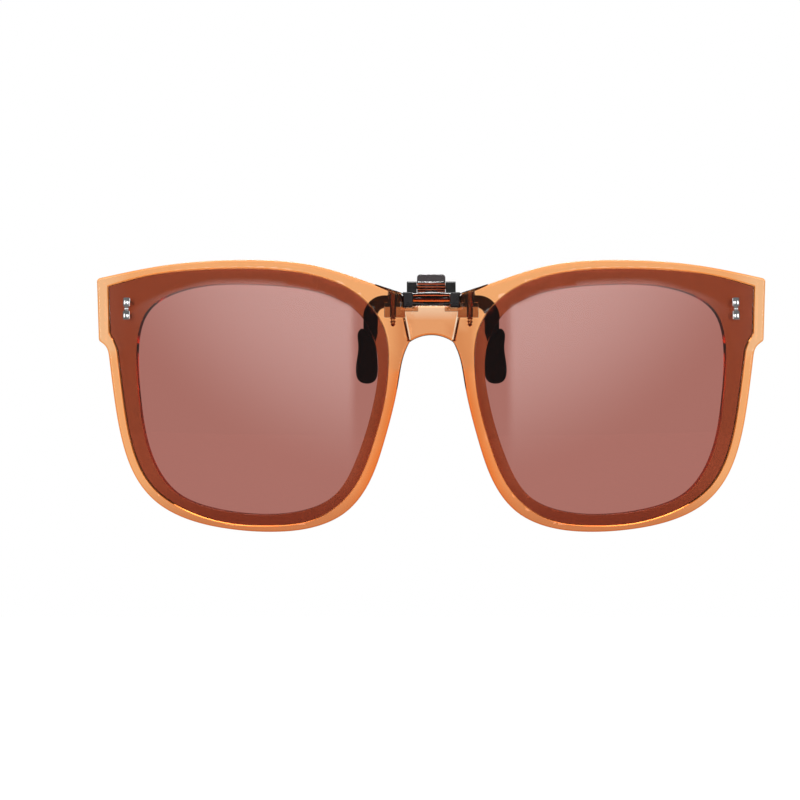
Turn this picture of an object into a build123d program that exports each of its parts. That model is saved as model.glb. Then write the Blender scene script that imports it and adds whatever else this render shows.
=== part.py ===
from build123d import *

import os
from math import cos, radians, sin, sqrt

# Clip-on flip-up tinted lenses for spectacles. All sizes in millimetres.
# X runs to the right, Y away from the viewer (towards the wearer's face), Z up.
# The origin is the middle of the closed jaw gap, at the height of the pads' centres.

# ---- Frame shell: a slice between two concentric spheres ----
FRAME_FRONT_R = 265.0          # radius of the front face's sphere
FRAME_THICKNESS = 3.6
FRAME_APEX_Y = -10.9           # the most forward point of the front face
FRAME_MID_Z = -8.75
SPHERE_Y = FRAME_APEX_Y + FRAME_FRONT_R
FRAME_BACK_R = FRAME_FRONT_R - FRAME_THICKNESS
FAR_FRONT_Y = -16.0            # planes that every outline is extruded between
FAR_BACK_Y = 8.0

# ---- Lenses ----
LENS_THICKNESS = 1.3
LENS_RECESS = 1.6              # depth of the front recess that a lens is glued into
GLUE_GAP = 0.03
LENS_BACK_R = FRAME_FRONT_R - LENS_RECESS + GLUE_GAP
LENS_FRONT_R = LENS_BACK_R + LENS_THICKNESS
LENS_CENTRE = (40.5, -9.0)     # the recess is the lens outline grown about this point
RECESS_GROWTH = 1.003

# ---- Bridge ----
NOTCH_HALF_W = 6.4
NOTCH_Z = 10.5                 # floor of the notch on each side of the keystone panel
PANEL_TOP_HALF_W = 3.85        # the panel's middle stands a little higher than the notch
PANEL_TOP_Z = 10.95
PANEL_STEP_W = 0.1
ARCH_Z = 4.5                   # crown of the nose arch
KEYSTONE_TOP_HALF_W = 6.3
KEYSTONE_FOOT = (4.75, 2.9)
KEYSTONE_PANEL = 1.7           # thickness of the thin panel left in the bridge

# ---- Saddle ----
LEG_POCKET_X = (5.75, 10.35)
LEG_POCKET_Z = (8.35, 11.75)
POCKET_FLOOR_Y = -9.05
NECK_X = (7.25, 9.55)
PLAY = 0.05                    # gap between the saddle and its pockets
SADDLE_BACK_Y = -6.6
SADDLE_WEB_Y = (-8.2, -6.8)
SADDLE_WEB_Z = (10.75, 11.3)
NECK_FOOT_Z = 11.0
NECK_RISE = 0.2                # how far the necks stand above the frame's top edge
FOOT_X = (2.9, 5.9)
FOOT_Y = (-8.3, -7.0)
FOOT_Z = (9.7, 10.9)
STRIP_RISE = 0.38              # thickness of the strips on the frame's top edge
STRIP_END_X = 13.3
STRIP_Y = (-9.6, -6.8)
STRIP_ROOT_X = (5.4, 6.8)
STRIP_ROOT_Z = (13.7, 14.2)

# ---- Saddle screws ----
SCREW_X = 8.4
SCREW_Y = -7.95
SCREW_TOP_Z = 14.8
SCREW_TIP_Z = 6.3
SCREW_R = 0.65
SCREW_HEAD_R = 0.9
SCREW_HEAD_H = 0.7
SCREW_TIP_H = 1.2
SCREW_TIP_R = 0.08
SCREW_SLOT = (3.0, 0.3, 0.5)

# ---- Flip hinge ----
FLIP_Y, FLIP_Z = -5.2, 12.7
FLIP_AXLE_R = 0.5
FLIP_AXLE_HALF = 6.1
KNUCKLE_X = (4.4, 6.25)
CHEEK_INNER_X = 4.1            # the cheek's front part hides the washer
CHEEK_FRONT_Y = -9.3
KNUCKLE_R = 1.5
CHEEK_FOOT_Z = 10.6
CHEEK_ROUND = 0.5
WASHER_ROOM = 0.15
BARREL_HALF = 4.05
BARREL_END_R = 1.15
BARREL_MID_R = 1.4
HOUSING_WEB_Z = (11.6, 13.5)
WASHER_X = (4.08, 4.37)
WASHER_R = 1.2
RUNNING = 0.03                 # radial clearance of a hole round its pin

# ---- Jaws ----
JAW_Z = 15.3                   # jaw axis, at y = 0
JAW_AXLE_R = 0.5
JAW_AXLE_HALF = 5.3
EAR_X = (3.2, 5.4)
EAR_R = 1.25
EAR_FOOT_Z = 11.5
EAR_FRONT_Z = 13.5             # where the ear leaves the bar's front and back faces
EAR_BACK_Z = 12.6
EAR_CROWN = (-0.95, 0.8)       # where its sides meet the eye, in y and z from the jaw axis
EAR_THROAT = (0.9, -0.86)
BAR_NEAR_Y = 1.8               # the face of each bar nearest to the other jaw
BAR_THICKNESS = 1.6
BAR_TOP_Z = 13.3
BAR_FOOT_Z = 10.6              # underside of the bar's level part
BAR_CENTRE_FOOT_Z = 11.0       # underside between the two hinges
BAR_CENTRE_HALF_W = 6.4
BEND_X = 10.15                 # centre of the bar's bend
BEND_INNER_R = 1.6
BEND_OUTER_R = 4.8
TONGUE_X = 12.75               # inner edge of the tongue inside the sleeve
TONGUE_FOOT_Z = -4.2
KNEE_Z = 5.2                   # foot of the bar's straight inner side

# ---- Silicone sleeves ----
GRIP_GAP = 2.2                 # closed gap between the front and rear grip faces
SLEEVE_THICKNESS = 3.0
SLEEVE_ROUND = 0.6
SLEEVE_LOW = (12.2, 2.9)       # ends of the diagonal mouth
SLEEVE_HIGH = (15.0, 6.3)
MOUTH_GAP = 0.1
SOCKET_TOP_Z = 8.0

# ---- Squeeze lever and spring ----
LEVER_HALF = 3.1
LEVER_WEB_Y = 0.7
LEVER_FOOT_Z = 11.0
LEVER_WEB_FRONT_Z = -1.0       # corners of the web's top, in z from the jaw axis
LEVER_WEB_BACK_Z = -1.3
LEVER_WEB_PEAK = (1.1, 0.5)
RIDGE_R = 0.13                 # grooves between the barrel's ridges
RIDGE_TURNS = (-60, -30, 0, 30)
TAB_HALF = 3.2
TAB_TOP_Z = 18.1
TAB_THICKNESS = 1.1
TAB_LEAN = 25.0
TAB_CORNER_R = 0.7
TAB_SET_BACK = 0.2
SPRING_WIRE_R = 0.16
SPRING_MEAN_R = 0.82
SPRING_HALF = 1.15
SPRING_SLOT_HALF = 1.4
SPRING_SLOT_R = 1.04
SPRING_SLOT_Y = (-0.75, 0.6)
SPRING_SLOT_DROP = 2.0
SPRING_LEG_FORWARD = 2.9
SPRING_LEG_UP = 0.25
SPRING_TURN = 20.0             # the coil is turned so that its long leg rests on the front bar
SPRING_TURNS = 6.25

# ---- Rivets ----
TRIM_X, TRIM_Z = 67.4, 10.5    # centre of each corner ornament
TRIM_W = 1.6
TRIM_BARREL_H = 2.0
TRIM_H = 4.9
TRIM_PROUD = 0.55
TRIM_SHANK_R = 0.45
TRIM_SHANK_Z = 1.5
TRIM_SHANK_END = 0.6           # how far the shanks stand out behind the frame
TRIM_ROUND = 0.2
BEAD_R = 0.51
BEAD_H = 0.44
WAIST = (0.8, 2.45, 0.22)
TRIM_WASHER_R = 1.0
TRIM_WASHER_T = 0.35
TRIM_WASHER_DEPTH = 3.8        # middle of the washers under the frame's front face
BAR_RIVET_X = 2.2
BAR_RIVET_Z = 12.2
BAR_RIVET_R = 0.5
BAR_RIVET_HEAD_R = 0.8
BAR_RIVET_HEAD_H = 0.4
HOUSING_RIVET_Y = -4.4         # blind end of the front rivets
LEVER_RIVET_Y = 0.9            # blind end of the rear rivets
BLIND_GAP = 0.02

# ---- Right-hand outlines seen from the front, as (x, z) ----
FRAME_TOP = [(6.4, 13.9), (14.3, 16.45), (25.4, 19.8), (40.8, 21.15), (58.4, 20.1), (73.3, 17.3)]
FRAME_CORNER = [(73.3, 17.3), (73.85, 16.9), (73.95, 16.2)]
FRAME_STEP = [(73.5, 3.4), (71.9, 2.1), (71.15, -0.6)]
FRAME_UNDER = [
    (71.15, -0.6), (70.15, -8.4), (68.2, -19.0), (65.15, -26.9), (60.7, -32.2), (53.1, -36.2),
    (44.5, -38.1), (34.4, -38.7), (25.3, -37.5), (18.75, -34.3), (14.3, -29.0), (10.4, -19.0),
    (7.2, -5.7), (5.75, 0.9), (4.85, 2.9),
]
LENS_ROUND = [
    (71.5, 15.5), (62.6, 17.8), (50.0, 19.1), (39.5, 19.25), (29.3, 18.4), (19.0, 15.2),
    (13.1, 10.5), (10.3, 5.7), (9.5, -2.5), (10.3, -9.7), (12.85, -19.4), (16.85, -28.7),
    (24.7, -35.45), (34.7, -37.3), (44.3, -36.9), (53.7, -34.2), (61.9, -28.45), (66.2, -19.4),
    (68.0, -9.7), (69.4, 1.2),
]
LENS_STEP = [(69.4, 1.2), (70.2, 3.3), (71.2, 5.0)]
APERTURE = [
    (65.4, 0.0), (63.0, 10.05), (53.8, 15.0), (39.5, 15.9), (25.7, 14.3), (16.8, 10.1),
    (12.1, 1.5), (12.65, -9.7), (16.65, -22.9), (21.7, -31.0), (30.5, -34.6), (39.5, -35.0),
    (48.3, -33.75), (56.75, -30.2), (62.0, -22.7), (64.8, -9.7),
]
SLEEVE_ROUND_PATH = [
    (15.0, 6.3), (15.95, 5.5), (16.1, 2.7), (16.25, 0.0), (16.6, -3.2), (15.9, -5.5), (14.2, -6.1),
    (12.5, -5.5), (11.8, -3.2), (11.9, -0.2), (12.2, 2.9),
]


# ---- Small helpers ----
def ball(radius):
    """The solid sphere of a shell face."""
    return Pos(0, SPHERE_Y, FRAME_MID_Z) * Sphere(radius)


def shell_y(x, z, radius):
    """The y of a shell sphere's forward side at x, z."""
    return SPHERE_Y - sqrt(radius**2 - x**2 - (z - FRAME_MID_Z) ** 2)


def prism(edges, front_y=FAR_FRONT_Y, back_y=FAR_BACK_Y):
    """An outline in x and z, made solid between two y planes."""
    plane = Plane.XZ.offset(-back_y)
    face = make_face([plane * edge for edge in edges])
    return extrude(face, back_y - front_y, dir=(0, -1, 0))


def block(x_range, y_range, z_range):
    """A box from its limits along each axis."""
    spans = (x_range, y_range, z_range)
    size = [high - low for low, high in spans]
    middle = [(high + low) / 2 for low, high in spans]
    return Pos(*middle) * Box(*size)


def rod_x(radius, x_range, y, z):
    """A cylinder along X from its ends and its axis."""
    low, high = x_range
    return Pos((low + high) / 2, y, z) * Rot(0, 90, 0) * Cylinder(radius, high - low)


def rod_y(radius, y_range, x, z):
    """A cylinder along Y from its ends and its axis."""
    low, high = y_range
    return Pos(x, (low + high) / 2, z) * Rot(90, 0, 0) * Cylinder(radius, high - low)


def rod_z(radius, z_range, x, y):
    """A cylinder along Z from its ends and its axis."""
    low, high = z_range
    return Pos(x, y, (low + high) / 2) * Cylinder(radius, high - low)


def side_profile(points, x_range):
    """A polygon in y and z, made solid between two x planes."""
    low, high = x_range
    face = Plane.YZ.offset(low) * make_face(Polyline(*points, close=True))
    return extrude(face, high - low, dir=(1, 0, 0))


def mirrored(shape):
    """The left-hand twin of a right-hand shape."""
    return mirror(shape, about=Plane.YZ)


def both_sides(shape):
    """A right-hand shape and its twin, as one."""
    return shape + mirrored(shape)


def write(name, shape):
    """Writes one piece, or one group of like pieces, to its own file."""
    shape.label = name
    export_step(shape, os.path.join("parts", name + ".step"))


# ---- Frame and lenses ----
def frame_outline():
    """The whole outer outline of the frame, with its notch and nose arch."""
    right = [
        Polyline(
            (0, PANEL_TOP_Z), (PANEL_TOP_HALF_W, PANEL_TOP_Z),
            (PANEL_TOP_HALF_W + PANEL_STEP_W, NOTCH_Z), (NOTCH_HALF_W, NOTCH_Z), FRAME_TOP[0],
        ),
        Spline(*FRAME_TOP),
        ThreePointArc(*FRAME_CORNER),
        Line(FRAME_CORNER[-1], FRAME_STEP[0]),
        Spline(*FRAME_STEP),
        Spline(*FRAME_UNDER),
    ]
    left = [mirror(edge, about=Plane.YZ) for edge in right]
    foot_x, foot_z = FRAME_UNDER[-1]
    arch = ThreePointArc((-foot_x, foot_z), (0, ARCH_Z), (foot_x, foot_z))
    return right + left + [arch]


def lens_prism(growth=1.0):
    """The right lens's outline, grown about the lens's centre and extruded."""
    centre_x, centre_z = LENS_CENTRE

    def grown(points):
        return [(centre_x + growth * (x - centre_x), centre_z + growth * (z - centre_z)) for x, z in points]

    round_path, step_path = grown(LENS_ROUND), grown(LENS_STEP)
    return prism([Spline(*round_path), Spline(*step_path), Line(step_path[-1], round_path[0])])


def aperture_prism():
    """The see-through opening behind the right lens."""
    return prism([Spline(*APERTURE, periodic=True)])


def trim_plane():
    """The right ornament's place on the frame's front face, facing outwards."""
    y = shell_y(TRIM_X, TRIM_Z, FRAME_FRONT_R)
    outward = Vector(TRIM_X, y - SPHERE_Y, TRIM_Z - FRAME_MID_Z).normalized()
    along = Vector(0, 0, 1).cross(outward).normalized()
    return Plane(origin=(TRIM_X, y, TRIM_Z), x_dir=along, z_dir=outward)


def trim_holes():
    """The two rivet holes through the right lens and the frame."""
    hole = Cylinder(TRIM_SHANK_R + RUNNING, 12)
    return trim_plane() * (Pos(0, TRIM_SHANK_Z, 0) * hole + Pos(0, -TRIM_SHANK_Z, 0) * hole)


def lens_right():
    """The tinted lens, a thin curved plate."""
    lens = lens_prism() & (ball(LENS_FRONT_R) - ball(LENS_BACK_R))
    return lens - trim_holes()


def keystone_pocket():
    """The hollow behind the thin panel in the middle of the bridge."""
    foot_x, foot_z = KEYSTONE_FOOT
    top_x, top_z = KEYSTONE_TOP_HALF_W, PANEL_TOP_Z + 1
    right = [(foot_x, foot_z), (top_x, NOTCH_Z), (top_x, top_z)]
    left = [(-x, z) for x, z in reversed(right)]
    return prism([Polyline(*right, *left, close=True)]) & ball(FRAME_FRONT_R - KEYSTONE_PANEL)


def saddle_pockets():
    """The pockets in the frame's back that the saddle's legs and necks lie in."""
    leg = block(LEG_POCKET_X, (POCKET_FLOOR_Y, FAR_BACK_Y), LEG_POCKET_Z)
    neck = block(NECK_X, (POCKET_FLOOR_Y, FAR_BACK_Y), (LEG_POCKET_Z[0], SCREW_TOP_Z + 1))
    pilot = rod_z(SCREW_R + RUNNING, (SCREW_TIP_Z - 0.1, LEG_POCKET_Z[0] + 1), SCREW_X, SCREW_Y)
    return both_sides(leg + neck + pilot)


def frame_front():
    """The one-piece translucent frame with its recesses, pockets and holes."""
    shell = ball(FRAME_FRONT_R) - ball(FRAME_BACK_R)
    frame = prism(frame_outline()) & shell
    recess = lens_prism(RECESS_GROWTH) - ball(FRAME_FRONT_R - LENS_RECESS)
    cut = recess + aperture_prism() + trim_holes()
    frame = frame - cut - mirrored(cut)
    return frame - keystone_pocket() - saddle_pockets()


# ---- Corner ornaments ----
def rivet_right():
    """Two short barrels with a bead between them, on two shanks."""
    seat = LENS_FRONT_R - FRAME_FRONT_R + 0.01
    barrel = fillet(Box(TRIM_W, TRIM_BARREL_H, TRIM_PROUD).edges(), TRIM_ROUND)
    barrel_z = TRIM_PROUD / 2
    offset_y = (TRIM_H - TRIM_BARREL_H) / 2
    ornament = Pos(0, offset_y, barrel_z) * barrel + Pos(0, -offset_y, barrel_z) * barrel
    ornament += Pos(0, 0, BEAD_H / 2) * Cylinder(BEAD_R, BEAD_H)
    ornament += Pos(0, 0, barrel_z - WAIST[2] / 2) * Box(*WAIST)
    shank_length = LENS_FRONT_R - FRAME_BACK_R + TRIM_SHANK_END
    shank = Pos(0, 0, TRIM_SHANK_END / 6 - shank_length / 2) * Cylinder(TRIM_SHANK_R, shank_length)
    for side in (1, -1):
        ornament += Pos(0, side * TRIM_SHANK_Z, 0) * shank
    return trim_plane() * Pos(0, 0, seat) * ornament


def rivet_washers():
    """Four flat washers behind the frame, one for each ornament shank."""
    washer = Cylinder(TRIM_WASHER_R, TRIM_WASHER_T) - Cylinder(TRIM_SHANK_R + RUNNING, 1)
    spots = [Pos(0, side * TRIM_SHANK_Z, -TRIM_WASHER_DEPTH) for side in (1, -1)]
    pair = [trim_plane() * spot * washer for spot in spots]
    return Compound(children=pair + [mirrored(one) for one in pair])


# ---- Saddle ----
def saddle_half():
    """The right half of the saddle: hinge cheek, leg, neck and foot."""
    cheek_z = (CHEEK_FOOT_Z, FLIP_Z + KNUCKLE_R)
    cover_back = FLIP_Y - WASHER_R - WASHER_ROOM
    cover = block((CHEEK_INNER_X, KNUCKLE_X[1]), (CHEEK_FRONT_Y, cover_back), cheek_z)
    cover = fillet(cover.edges().filter_by(Axis.X).group_by(Axis.Y)[0], CHEEK_ROUND)
    cheek = rod_x(KNUCKLE_R, KNUCKLE_X, FLIP_Y, FLIP_Z)
    cheek += block(KNUCKLE_X, (cover_back - WASHER_ROOM, FLIP_Y), cheek_z) + cover
    leg = block(
        (LEG_POCKET_X[0] + PLAY, LEG_POCKET_X[1] - PLAY),
        (POCKET_FLOOR_Y + PLAY, SADDLE_BACK_Y),
        (LEG_POCKET_Z[0] + PLAY, LEG_POCKET_Z[1] - PLAY),
    )
    neck = block(
        (NECK_X[0] + PLAY, NECK_X[1] - PLAY),
        (POCKET_FLOOR_Y + PLAY, SADDLE_BACK_Y),
        (NECK_FOOT_Z, SCREW_TOP_Z + 1),
    )
    neck = neck & (Pos(0, 0, NECK_RISE) * prism(frame_outline()))
    return cheek + leg + neck + block(FOOT_X, FOOT_Y, FOOT_Z)


def saddle_flange():
    """The thin strip that lies on the frame's top edge."""
    outline = prism(frame_outline(), *STRIP_Y)
    room = block((STRIP_ROOT_X[0], STRIP_END_X), STRIP_Y, (STRIP_ROOT_Z[0] - 0.2, SCREW_TOP_Z + 2))
    strip = (Pos(0, 0, STRIP_RISE) * outline) & room
    strip += block(STRIP_ROOT_X, (CHEEK_FRONT_Y + 0.1, STRIP_Y[1]), STRIP_ROOT_Z)
    return strip - Pos(0, 0, RUNNING) * outline


def hinge_saddle():
    """The translucent saddle that carries the frame on the flip axle."""
    web = block((-KNUCKLE_X[0], KNUCKLE_X[0]), SADDLE_WEB_Y, SADDLE_WEB_Z)
    saddle = both_sides(saddle_half() + saddle_flange()) + web
    bore = rod_x(FLIP_AXLE_R + RUNNING, (-8, 8), FLIP_Y, FLIP_Z)
    screw_hole = rod_z(SCREW_R + RUNNING, (5, 16), SCREW_X, SCREW_Y)
    head_z = SCREW_TOP_Z - SCREW_HEAD_H
    head_seat = rod_z(SCREW_HEAD_R + RUNNING, (head_z - RUNNING, 16), SCREW_X, SCREW_Y)
    return saddle - bore - both_sides(screw_hole + head_seat)


def saddle_screws():
    """Two pointed screws with slotted heads, driven down through the saddle."""
    shank = rod_z(SCREW_R, (SCREW_TIP_Z + SCREW_TIP_H, SCREW_TOP_Z - 0.1), SCREW_X, SCREW_Y)
    point = Pos(SCREW_X, SCREW_Y, SCREW_TIP_Z + SCREW_TIP_H / 2)
    point *= Cone(SCREW_TIP_R, SCREW_R, SCREW_TIP_H)
    head = rod_z(SCREW_HEAD_R, (SCREW_TOP_Z - SCREW_HEAD_H, SCREW_TOP_Z), SCREW_X, SCREW_Y)
    slot = Pos(SCREW_X, SCREW_Y, SCREW_TOP_Z) * Box(*SCREW_SLOT)
    screw = shank + point + head - slot
    return Compound(children=[screw, mirrored(screw)])


# ---- Flip hinge ----
def clip_housing():
    """The crowned flip barrel and the web that joins it to the front bar."""
    profile = [
        Line((-BARREL_HALF, 0), (-BARREL_HALF, BARREL_END_R)),
        ThreePointArc((-BARREL_HALF, BARREL_END_R), (0, BARREL_MID_R), (BARREL_HALF, BARREL_END_R)),
        Line((BARREL_HALF, BARREL_END_R), (BARREL_HALF, 0)),
        Line((BARREL_HALF, 0), (-BARREL_HALF, 0)),
    ]
    barrel = revolve(make_face(profile), Axis.X, 360)
    barrel = Pos(0, FLIP_Y, FLIP_Z) * barrel
    web = block((-BARREL_HALF, BARREL_HALF), (FLIP_Y, -BAR_NEAR_Y - BAR_THICKNESS), HOUSING_WEB_Z)
    housing = barrel + web - rod_x(FLIP_AXLE_R + RUNNING, (-8, 8), FLIP_Y, FLIP_Z)
    for side in (1, -1):
        hole_y = (HOUSING_RIVET_Y - BLIND_GAP, 0)
        housing -= rod_y(BAR_RIVET_R + RUNNING, hole_y, side * BAR_RIVET_X, BAR_RIVET_Z)
    return housing


def flip_axle():
    """The pin that the frame flips on."""
    pin = rod_x(FLIP_AXLE_R, (-FLIP_AXLE_HALF, FLIP_AXLE_HALF), FLIP_Y, FLIP_Z)
    return chamfer(pin.edges(), 0.1)


def friction_washer():
    """The right spring washer between the barrel and the saddle's cheek."""
    ring = rod_x(WASHER_R, WASHER_X, FLIP_Y, FLIP_Z)
    return ring - rod_x(FLIP_AXLE_R + RUNNING, (0, 8), FLIP_Y, FLIP_Z)


# ---- Jaws ----
def bar_outline():
    """The right half of a moustache bar: across, round the bend and down."""
    outer_z, inner_z = BAR_TOP_Z - BEND_OUTER_R, BAR_FOOT_Z - BEND_INNER_R
    outer_x, inner_x = BEND_X + BEND_OUTER_R, BEND_X + BEND_INNER_R
    slope = (SLEEVE_HIGH[1] - SLEEVE_LOW[1]) / (SLEEVE_HIGH[0] - SLEEVE_LOW[0])
    low_x, low_z = SLEEVE_LOW[0], SLEEVE_LOW[1] + MOUTH_GAP
    tongue_z = low_z + slope * (TONGUE_X - low_x)
    half = sqrt(0.5)
    return [
        Line((0, BAR_TOP_Z), (BEND_X, BAR_TOP_Z)),
        ThreePointArc(
            (BEND_X, BAR_TOP_Z),
            (BEND_X + BEND_OUTER_R * half, outer_z + BEND_OUTER_R * half),
            (outer_x, outer_z),
        ),
        Polyline(
            (outer_x, outer_z), (outer_x, TONGUE_FOOT_Z), (TONGUE_X, TONGUE_FOOT_Z),
            (TONGUE_X, tongue_z), (low_x, low_z), (inner_x, KNEE_Z), (inner_x, inner_z),
        ),
        ThreePointArc(
            (inner_x, inner_z),
            (BEND_X + BEND_INNER_R * half, inner_z + BEND_INNER_R * half),
            (BEND_X, BAR_FOOT_Z),
        ),
        Polyline(
            (BEND_X, BAR_FOOT_Z), (BAR_CENTRE_HALF_W, BAR_FOOT_Z),
            (BAR_CENTRE_HALF_W - 0.4, BAR_CENTRE_FOOT_Z), (0, BAR_CENTRE_FOOT_Z), (0, BAR_TOP_Z),
        ),
    ]


def bar(front_y):
    """A whole moustache bar with its rivet holes, its front face at front_y."""
    back_y = front_y + BAR_THICKNESS
    body = both_sides(prism(bar_outline(), front_y, back_y))
    for side in (1, -1):
        body -= rod_y(BAR_RIVET_R + RUNNING, (front_y - 1, back_y + 1), side * BAR_RIVET_X, BAR_RIVET_Z)
    return body


def front_arm_bar():
    """The fixed jaw's bar with the two ears that hold the jaw axle."""
    front, back = -BAR_NEAR_Y - BAR_THICKNESS, -BAR_NEAR_Y
    side_view = [
        (front, EAR_FOOT_Z), (front, EAR_FRONT_Z), (EAR_CROWN[0], JAW_Z + EAR_CROWN[1]),
        (EAR_THROAT[0], JAW_Z + EAR_THROAT[1]), (back, EAR_BACK_Z), (back, EAR_FOOT_Z),
    ]
    ear = side_profile(side_view, EAR_X) + rod_x(EAR_R, EAR_X, 0, JAW_Z)
    bore = rod_x(JAW_AXLE_R + RUNNING, (-8, 8), 0, JAW_Z)
    return bar(front) + both_sides(ear) - bore


def rear_arm_bar():
    """The moving jaw's bar."""
    return bar(BAR_NEAR_Y)


def sleeve(grip_y, away):
    """A right sleeve: grip_y is its grip face, away is +1 for the rear jaw and -1 for the front."""
    far_y = grip_y + away * SLEEVE_THICKNESS
    front_y, back_y = min(grip_y, far_y), max(grip_y, far_y)
    skin = prism([Spline(*SLEEVE_ROUND_PATH), Line(SLEEVE_LOW, SLEEVE_HIGH)], front_y, back_y)
    rims = skin.faces().sort_by(Axis.Y)
    skin = fillet(rims[0].edges() + rims[-1].edges(), SLEEVE_ROUND)
    outer_x = BEND_X + BEND_OUTER_R
    bar_y = BAR_NEAR_Y if away > 0 else -BAR_NEAR_Y - BAR_THICKNESS
    socket = block(
        (TONGUE_X - PLAY, outer_x + PLAY),
        (bar_y - PLAY, bar_y + BAR_THICKNESS + PLAY),
        (TONGUE_FOOT_Z - PLAY, SOCKET_TOP_Z),
    )
    return skin - socket


def bar_rivets(shank_y, head_y):
    """Two rivets along Y, with a head at one end."""
    rivets = []
    for side in (1, -1):
        rivet = rod_y(BAR_RIVET_R, shank_y, side * BAR_RIVET_X, BAR_RIVET_Z)
        rivet += rod_y(BAR_RIVET_HEAD_R, head_y, side * BAR_RIVET_X, BAR_RIVET_Z)
        rivets.append(rivet)
    return Compound(children=rivets)


def housing_rivets():
    """The rivets that hold the front bar to the housing's web."""
    head_y = (-BAR_NEAR_Y, -BAR_NEAR_Y + BAR_RIVET_HEAD_H)
    return bar_rivets((HOUSING_RIVET_Y, -BAR_NEAR_Y), head_y)


def lever_rivets():
    """The rivets that hold the rear bar to the lever's web."""
    back = BAR_NEAR_Y + BAR_THICKNESS
    return bar_rivets((LEVER_RIVET_Y, back), (back, back + BAR_RIVET_HEAD_H))


def jaw_axle():
    """The pin that the rear jaw turns on."""
    pin = rod_x(JAW_AXLE_R, (-JAW_AXLE_HALF, JAW_AXLE_HALF), 0, JAW_Z)
    return chamfer(pin.edges(), 0.1)


def squeeze_lever():
    """The tab that is squeezed, its barrel and the web down to the rear bar."""
    lean = radians(TAB_LEAN)
    rise = TAB_TOP_Z - JAW_Z - TAB_THICKNESS / 2 * sin(lean)
    tab = Pos(0, rise * sin(lean) / cos(lean) / 2 + TAB_SET_BACK, JAW_Z + rise / 2)
    tab = tab * Rot(-TAB_LEAN, 0, 0) * Box(2 * TAB_HALF, TAB_THICKNESS, rise / cos(lean))
    tab = fillet(tab.edges().filter_by(Axis.Y, tolerance=30).group_by(Axis.Z)[-1], TAB_CORNER_R)
    barrel = rod_x(EAR_R, (-LEVER_HALF, LEVER_HALF), 0, JAW_Z)
    web = side_profile(
        [
            (LEVER_WEB_Y, LEVER_FOOT_Z), (LEVER_WEB_Y, JAW_Z + LEVER_WEB_FRONT_Z),
            (LEVER_WEB_PEAK[0], JAW_Z + LEVER_WEB_PEAK[1]),
            (BAR_NEAR_Y, JAW_Z + LEVER_WEB_BACK_Z), (BAR_NEAR_Y, LEVER_FOOT_Z),
        ],
        (-LEVER_HALF, LEVER_HALF),
    )
    lever = tab & block((-4, 4), (-2, 4), (JAW_Z, 20))
    lever = lever + barrel + web
    for turn in RIDGE_TURNS:
        ridge_y, ridge_z = -EAR_R * cos(radians(turn)), JAW_Z + EAR_R * sin(radians(turn))
        lever -= rod_x(RIDGE_R, (-4, 4), ridge_y, ridge_z)
    lever -= rod_x(JAW_AXLE_R + RUNNING, (-8, 8), 0, JAW_Z)
    slot_x = (-SPRING_SLOT_HALF, SPRING_SLOT_HALF)
    lever -= rod_x(SPRING_SLOT_R, slot_x, 0, JAW_Z)
    lever -= block(slot_x, SPRING_SLOT_Y, (JAW_Z - SPRING_SLOT_DROP, JAW_Z))
    for side in (1, -1):
        hole_y = (LEVER_RIVET_Y - BLIND_GAP, 3)
        lever -= rod_y(BAR_RIVET_R + RUNNING, hole_y, side * BAR_RIVET_X, BAR_RIVET_Z)
    return lever


def torsion_spring():
    """The coil that closes the jaws, with a leg forward and a leg up the tab."""
    height = 2 * SPRING_HALF
    coil = Helix(height / SPRING_TURNS, height, SPRING_MEAN_R)
    forward = Line(coil @ 0 - (coil % 0) * SPRING_LEG_FORWARD, coil @ 0)
    upward = Line(coil @ 1, coil @ 1 + (coil % 1) * SPRING_LEG_UP)
    path = Wire([forward, coil, upward])
    wire = sweep(Plane(origin=path @ 0, z_dir=path % 0) * Circle(SPRING_WIRE_R), path=path)
    return Pos(-SPRING_HALF, 0, JAW_Z) * Rot(SPRING_TURN, 0, 0) * Rot(0, 90, 0) * wire


def main():
    os.makedirs("parts", exist_ok=True)
    write("frame_front", frame_front())
    lens = lens_right()
    write("lens_right", lens)
    write("lens_left", mirrored(lens))
    rivet = rivet_right()
    write("rivet_right", rivet)
    write("rivet_left", mirrored(rivet))
    write("rivet_washers", rivet_washers())
    write("hinge_saddle", hinge_saddle())
    write("saddle_screws", saddle_screws())
    write("clip_housing", clip_housing())
    write("flip_axle", flip_axle())
    washer = friction_washer()
    write("friction_washer_right", washer)
    write("friction_washer_left", mirrored(washer))
    write("front_arm_bar", front_arm_bar())
    write("rear_arm_bar", rear_arm_bar())
    for jaw, away in (("front", -1), ("rear", 1)):
        right = sleeve(away * GRIP_GAP / 2, away)
        write(jaw + "_sleeve_right", right)
        write(jaw + "_sleeve_left", mirrored(right))
    write("housing_rivets", housing_rivets())
    write("lever_rivets", lever_rivets())
    write("jaw_axle", jaw_axle())
    write("squeeze_lever", squeeze_lever())
    write("torsion_spring", torsion_spring())


main()
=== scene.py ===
"""Clip-on flip-up tinted lenses for spectacles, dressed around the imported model.

Sizes are in millimetres and are turned into metres where a mesh is made. The axes are
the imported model's: X to the right, Y away from the viewer, Z up, with the origin in the
middle of the closed jaw gap, at the height of the grip pads' centres.
"""
import logging
from collections.abc import Callable, Iterator, Sequence
from contextlib import contextmanager
from dataclasses import dataclass
from enum import Enum
from math import cos, radians, sin, sqrt, tan, tau

import bpy
import numpy as np
from bpy.types import Material, NodeSocket, NodeTree, Object, ShaderNode
from mathutils import Matrix, Vector


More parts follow.
